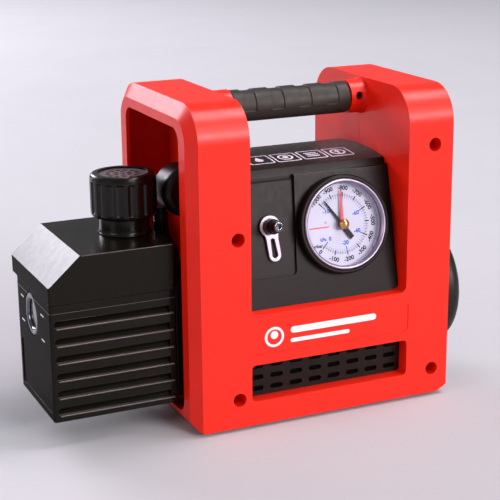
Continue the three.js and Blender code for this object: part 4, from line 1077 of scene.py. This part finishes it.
def add_case_fittings():
    """Drain plug and gas ballast knob on the back of the case."""
    back = CASE_BACK
    hexagon = prism(arc(*DRAIN, 7, 30, 330, 5), "Y", back + GAP, back + 6.3)
    profile = [(0, -1), (6.2, -1), (7.2, 4), (6.6, 6.3), (0, 6.3)]
    dome = turned(profile, "Y", (DRAIN[0], back, DRAIN[1]), 48)
    plug = carve(hexagon, keep=[dome])
    plug = carve(plug, add=[rod("Y", back - 6, back + 1, *DRAIN, 5)])
    piece("drain_plug_hex", plug, "chassis", BRASS, ["drain_plug"], edge=0.25, segments=2)
    knob = [(0, -7), (3, -7), (3, 0.3), (8.3, 0.3), (8.8, 0.7), (9, 1.4), (9, 8.8), (8.7, 9.8), (8, 10.5)]
    knob += [(5.6, 10.5), (5.2, 10.1), (0, 10.1)]
    ribs = [rod("Y", back + 2.2, back + 9.2, *at, 0.8, 16) for at in around(20, *BALLAST, 9.3)]
    made = carve(turned(knob, "Y", (BALLAST[0], back, BALLAST[1]), 80), cut=ribs)
    body = "ballast_valve"
    piece("ballast_knob_cap", made, body, PLASTIC, ["ballast_knob"], edge=0.2, segments=2)


def cover_side(inset):
    """The oil case's cover from the front, with its sloping left shoulder."""
    left, right = CASE_LEFT + inset, CASE_RIGHT - inset
    top = LID_TOP - inset
    low = LID_BOTTOM - 1 if inset else LID_BOTTOM
    slope_top = CASE_LEFT + 25.2 + inset * 0.4
    slope_low = LID_TOP - 22.4 - inset * 0.4
    return [(left, low), (right, low), (right, top), (slope_top, top), (left, slope_low)]


def add_case_cover():
    """The hollow cover of the oil case, with a painted highlight along its front edge."""
    wall = CASE_WALL
    solid = prism(cover_side(0), "Y", LID_FRONT, LID_BACK)
    hollow = prism(cover_side(wall), "Y", LID_FRONT + wall, LID_BACK - wall)
    way = rod("Z", LID_TOP - 10, LID_TOP + 5, EXHAUST_X, 0, 12)
    corners = rounded(CASE_LEFT, CASE_RIGHT, LID_FRONT, LID_BACK, 1.8, 6)
    lid = carve(solid, cut=[hollow, way], keep=[prism(corners, "Z", LID_BOTTOM, LID_TOP)])
    piece("case_cover_casting", lid, "chassis", PAINT, ["case_cover"], edge=0.7, segments=4)
    # A thin light rod along the front top edge: a painted highlight.
    highlight_rod = rod("X", CASE_LEFT + 26.5, CASE_RIGHT - 1.5, LID_FRONT + 0.45, LID_TOP - 0.45, 0.5, 16)
    piece("case_cover_edge_highlight", highlight_rod, "chassis", HIGHLIGHT_LINES)


# ------------------------------------------------------------------ exhaust
def add_exhaust():
    """The collar, the fluted cap and the pierced disc in its top."""

    def z(height):
        return LIFT + height

    low, top = EXHAUST_CAP["bottom"], EXHAUST_CAP["top"]
    neck = [(11.7, z(147.3)), (20.9, z(147.3)), (21.1, z(147.6)), (20.7, z(148.3)), (20.1, z(149))]
    neck += [(19.8, z(150)), (19.7, z(152)), (19.7, low - 0.5), (19.5, low - 0.3)]
    neck += [(15.4, low - 0.3), (15.4, z(175)), (11.7, z(175)), (11.7, z(147.3))]
    made = turned(neck, "Z", (EXHAUST_X, 0, 0), 96)
    piece("exhaust_collar", made, "chassis", CAP, ["exhaust_neck"], smooth=40)

    profile = [(0, low), (23.4, low), (24.7, low + 0.5), (25.6, low + 1.6), (26, low + 3.2)]
    profile += [(26, top - 4), (25.75, top - 2.4), (25, top - 1.1), (23.9, top - 0.3)]
    profile += [(22.6, top), (0, top)]
    cap = turned(profile, "Z", (EXHAUST_X, 0, 0), 180)
    groove = [(0, low + 3.4), (5.2, low + 3.4), (6, low + 4.6)]
    groove += [(6, top - 6.4), (5.2, top - 5.2), (0, top - 5.2)]
    flutes = [turned(groove, "Z", (x, y, 0), 48) for x, y in around(18, EXHAUST_X, 0, 30.7, 0.3)]
    cuts = [
        rod("Z", low - 1, z(184), EXHAUST_X, 0, 15.8, 64),
        rod("Z", z(180), top + 1, EXHAUST_X, 0, 14.5, 64),
        rod("Z", top - 3, top + 1, EXHAUST_X, 0, 19.6, 96),
    ]
    cap = carve(cap, cut=cuts + flutes)
    body = "exhaust_top"
    piece("exhaust_cap_knob", cap, body, CAP, ["exhaust_cap"], edge=0.3, segments=2)

    holes = [rod("Z", top - 5, top, EXHAUST_X, 0, 1.8, 24)]
    for count, radius in ((6, 5.8), (13, 11.9)):
        for at in around(count, EXHAUST_X, 0, radius, 0.25):
            holes.append(rod("Z", top - 5, top, *at, 2.05, 24))
    plate = carve(rod("Z", top - 2.8, top - 1.4, EXHAUST_X, 0, 19.4, 96), cut=holes)
    piece("exhaust_screen_disc", plate, body, SCREEN, ["exhaust_screen"], edge=0.15)


# ------------------------------------------------------------------ drive line
def add_drive_line():
    """Pump flange, bracket with its riser, motor shell and fan cover."""
    x0, x1, y0, y1, z0, z1 = extent("pump_flange")
    flange = carve(
        prism(rounded(y0, y1, z0, z1, 4), "X", x0, x1),
        cut=[rod("X", -90, -70, 0, AXIS_HEIGHT, 16.3, 64)],
    )
    piece("pump_flange_plate", flange, "chassis", PAINT, ["pump_flange"], edge=0.6)

    riser = [(0, 112), (13.5, 112), (13.5, 124), (13.3, 126), (12.6, 128.4), (10.6, 132.4), (8.8, 136)]
    riser += [(7.5, 139.2), (6.7, 142.4), (6.2, 146), (6, 149), (6, 152.2), (5.7, 152.5), (0, 152.5)]
    bracket = carve(
        rod("X", -74.5, -46.5, 0, AXIS_HEIGHT, 48, 96),
        add=[
            rod("X", -47, -30, 0, AXIS_HEIGHT, 41, 96),
            block(-74.5, -60, -16, 16, LIFT + 100, LIFT + 121),
            turned([(r, LIFT + h) for r, h in riser], "Z", (RISER_X, 0, 0), 64),
        ],
        cut=[
            rod("X", -54, -29, 0, AXIS_HEIGHT, 37, 96),
            rod("X", -68, -50, 0, AXIS_HEIGHT, 20.3),
            rod("X", -80, -60, 0, AXIS_HEIGHT, 10),
            block(-200, -74.5, -100, 100, 0, LIFT + 140),
        ],
    )
    piece("pump_bracket_casting", bracket, "chassis", PAINT, ["pump_bracket"], edge=0.5)
    low, high = extent("motor_housing")[:2]
    shell = ring_bar("X", low, high, 0, AXIS_HEIGHT, 46.3, MOTOR_RADIUS, 96)
    piece("motor_shell", shell, "chassis", PAINT, ["motor_housing"], edge=0.4, segments=2)

    wall, radius, start, step, end, neck, bend = 2.5, FAN_RADIUS, 126.5, 138.5, 180, 41, 10
    outer = [(neck, start), (neck, step), (radius - 1, step), (radius, step + 1)]
    outer += [(r, s) for s, r in arc(end - bend, radius - bend, bend, 90, 0, 14)]
    inner = [(neck - wall, start), (neck - wall, step + wall), (radius - wall, step + wall)]
    inner += [(r, s) for s, r in arc(end - bend, radius - bend, bend - wall, 90, 0, 14)]
    profile = outer + [(0, end), (0, end - wall)] + inner[::-1] + [(neck, start)]
    slots = []
    for index in range(24):
        turn = Matrix.Rotation(2 * math.pi * index / 24, 4, "X")
        bar = prism(rounded(-1.6, 1.6, 13, 36, 1.5, 5), "X", end - 5, end + 1)
        slots.append(moved(bar, turn))
    cover = carve(turned(profile, "X", (0, 0, 0), 120), cut=slots)
    made = moved(cover, Matrix.Translation((0, 0, AXIS_HEIGHT)))
    piece(
        "fan_cover_pressing", made, "chassis", PLASTIC, ["fan_cover"], edge=0.25, segments=2
    )


# ------------------------------------------------------------------ CAD parts that are shown as they are
def finish_cad_parts():
    """Gives the CAD parts that have no finer piece a finish and soft edges."""
    looks = {
        PLASTIC: ["cooling_fan", "control_panel", "switch_body", "mains_inlet"],
        RUBBER: ["shaft_seal"],
        CHROME: ["front_bearing", "rear_bearing"],
        STEEL: ["motor_stator", "motor_rotor", "pump_rotor"],
        ALUMINIUM: ["rear_end_bell", "capacitor"],
        BRASS: ["gauge_movement", "bourdon_tube", "valve_body"],
        COPPER: ["stator_winding", "gauge_tube", "intake_tube"],
        IRON: ["pump_stator", "pump_end_plate"],
        VANES: ["front_vane", "back_vane"],
        POINTER_RED: ["switch_rocker"],
    }
    for look, names in looks.items():
        for name in names:
            node = bpy.data.objects[name]
            node.data.materials.clear()
            node.data.materials.append(look)
            soften = node.modifiers.new("edges", "BEVEL")
            soften.width = 0.3 * MM
            soften.segments = 2
            soften.limit_method = "ANGLE"
            soften.angle_limit = math.radians(40)


def add_label_mark():
    """A plain white symbol and two bars in the recess for the label."""
    face = FRONT + 0.8
    middle = (LABEL["bottom"] + LABEL["top"]) / 2
    low, high = face - 0.12, face + 0.3
    parts = [ring_bar("Y", low, high, -10, middle, 6.2, 8.2, 64)]
    parts.append(rod("Y", low, high, -10, middle + 1.6, 3.2, 40))
    parts.append(prism(stadium(42, middle + 3.6, 38, 2.6), "Y", low, high))
    parts.append(prism(stadium(30, middle - 5, 26, 1.6), "Y", low, high))
    piece("label_mark", merged(parts), "chassis", MARK_WHITE)


add_shells()
add_label_mark()
add_grilles()
add_feet()
add_screws()
add_handle()
add_motor_cover()
add_gauge_body()
add_dial_marks()
add_pointers()
add_valve()
add_intake()
add_oil_case()
add_sight_glass()
add_case_fittings()
add_case_cover()
add_exhaust()
add_drive_line()
finish_cad_parts()


# ------------------------------------------------------------------ studio
def add_stage():
    """A wide pale floor."""
    half = 12
    mesh = bmesh.new()
    corners = [(-half, -half, 0), (half, -half, 0), (half, half, 0), (-half, half, 0)]
    mesh.faces.new([mesh.verts.new(corner) for corner in corners])
    floor = plain_object(mesh)
    floor.name = "studio_floor"
    floor.data.materials.append(FLOOR)


def softbox(name, direction, width, height, watts, colour):
    """A large soft lamp four metres away in a direction, turned to the object. Its size is in metres."""
    lamp = bpy.data.lights.new(name, "AREA")
    lamp.shape = "RECTANGLE"
    lamp.size = width
    lamp.size_y = height
    lamp.energy = watts
    lamp.color = colour
    holder = bpy.data.objects.new(name, lamp)
    bpy.context.collection.objects.link(holder)
    aim = Vector(direction).normalized()
    holder.location = Vector((0, 0, 0.12)) + aim * 4
    holder.rotation_euler = aim.to_track_quat("Z", "Y").to_euler()


def add_camera():
    """The view: 24 degrees round to the left, 16 degrees down, with a slight roll."""
    azimuth = math.radians(24.256)
    elevation = math.radians(16.043)
    roll = math.radians(0.553)
    flat = math.cos(elevation)
    ahead = Vector((math.sin(azimuth) * flat, math.cos(azimuth) * flat, -math.sin(elevation)))
    level = Vector((math.cos(azimuth), -math.sin(azimuth), 0))
    down = ahead.cross(level)
    right = level * math.cos(roll) + down * math.sin(roll)
    up = level * math.sin(roll) - down * math.cos(roll)
    data = bpy.data.cameras.new("camera")
    data.sensor_width = 36
    data.lens = 99.02
    data.clip_end = 50
    camera = bpy.data.objects.new("camera", data)
    bpy.context.collection.objects.link(camera)
    turn = Matrix((right, up, -ahead)).transposed().to_4x4()
    camera.matrix_world = Matrix.Translation(Vector((-439.83, -989.61, 432.74)) * MM) @ turn
    bpy.context.scene.camera = camera


def add_lights():
    """Pale surroundings, four softboxes and a broad front light."""
    world = bpy.data.worlds.new("studio")
    world.use_nodes = True
    background = world.node_tree.nodes["Background"]
    background.inputs["Color"].default_value = (0.9, 0.9, 0.95, 1)
    background.inputs["Strength"].default_value = 0.3
    bpy.context.scene.world = world
    softbox("back_left_box", (-0.25, 0.876, 0.38), 2.4, 1.1, 140, (0.93, 0.9, 1))
    softbox("front_right_box", (0.395, -0.87, 0.3), 2.2, 0.36, 115, (1, 0.93, 0.98))
    softbox("overhead_box", (0.4, -0.1, 0.9), 1.8, 1.4, 120, (1, 0.93, 1))
    softbox("left_box", (-0.9, -0.25, 0.35), 1.6, 1.2, 38, (1, 0.96, 0.96))
    sun = bpy.data.lights.new("front_light", "SUN")
    sun.energy = 1.08
    sun.angle = math.radians(30)
    holder = bpy.data.objects.new("front_light", sun)
    bpy.context.collection.objects.link(holder)
    holder.rotation_euler = Vector((0.3, -0.75, 0.6)).to_track_quat("Z", "Y").to_euler()


add_stage()
add_camera()
add_lights()
bpy.context.scene.view_settings.view_transform = "Standard"
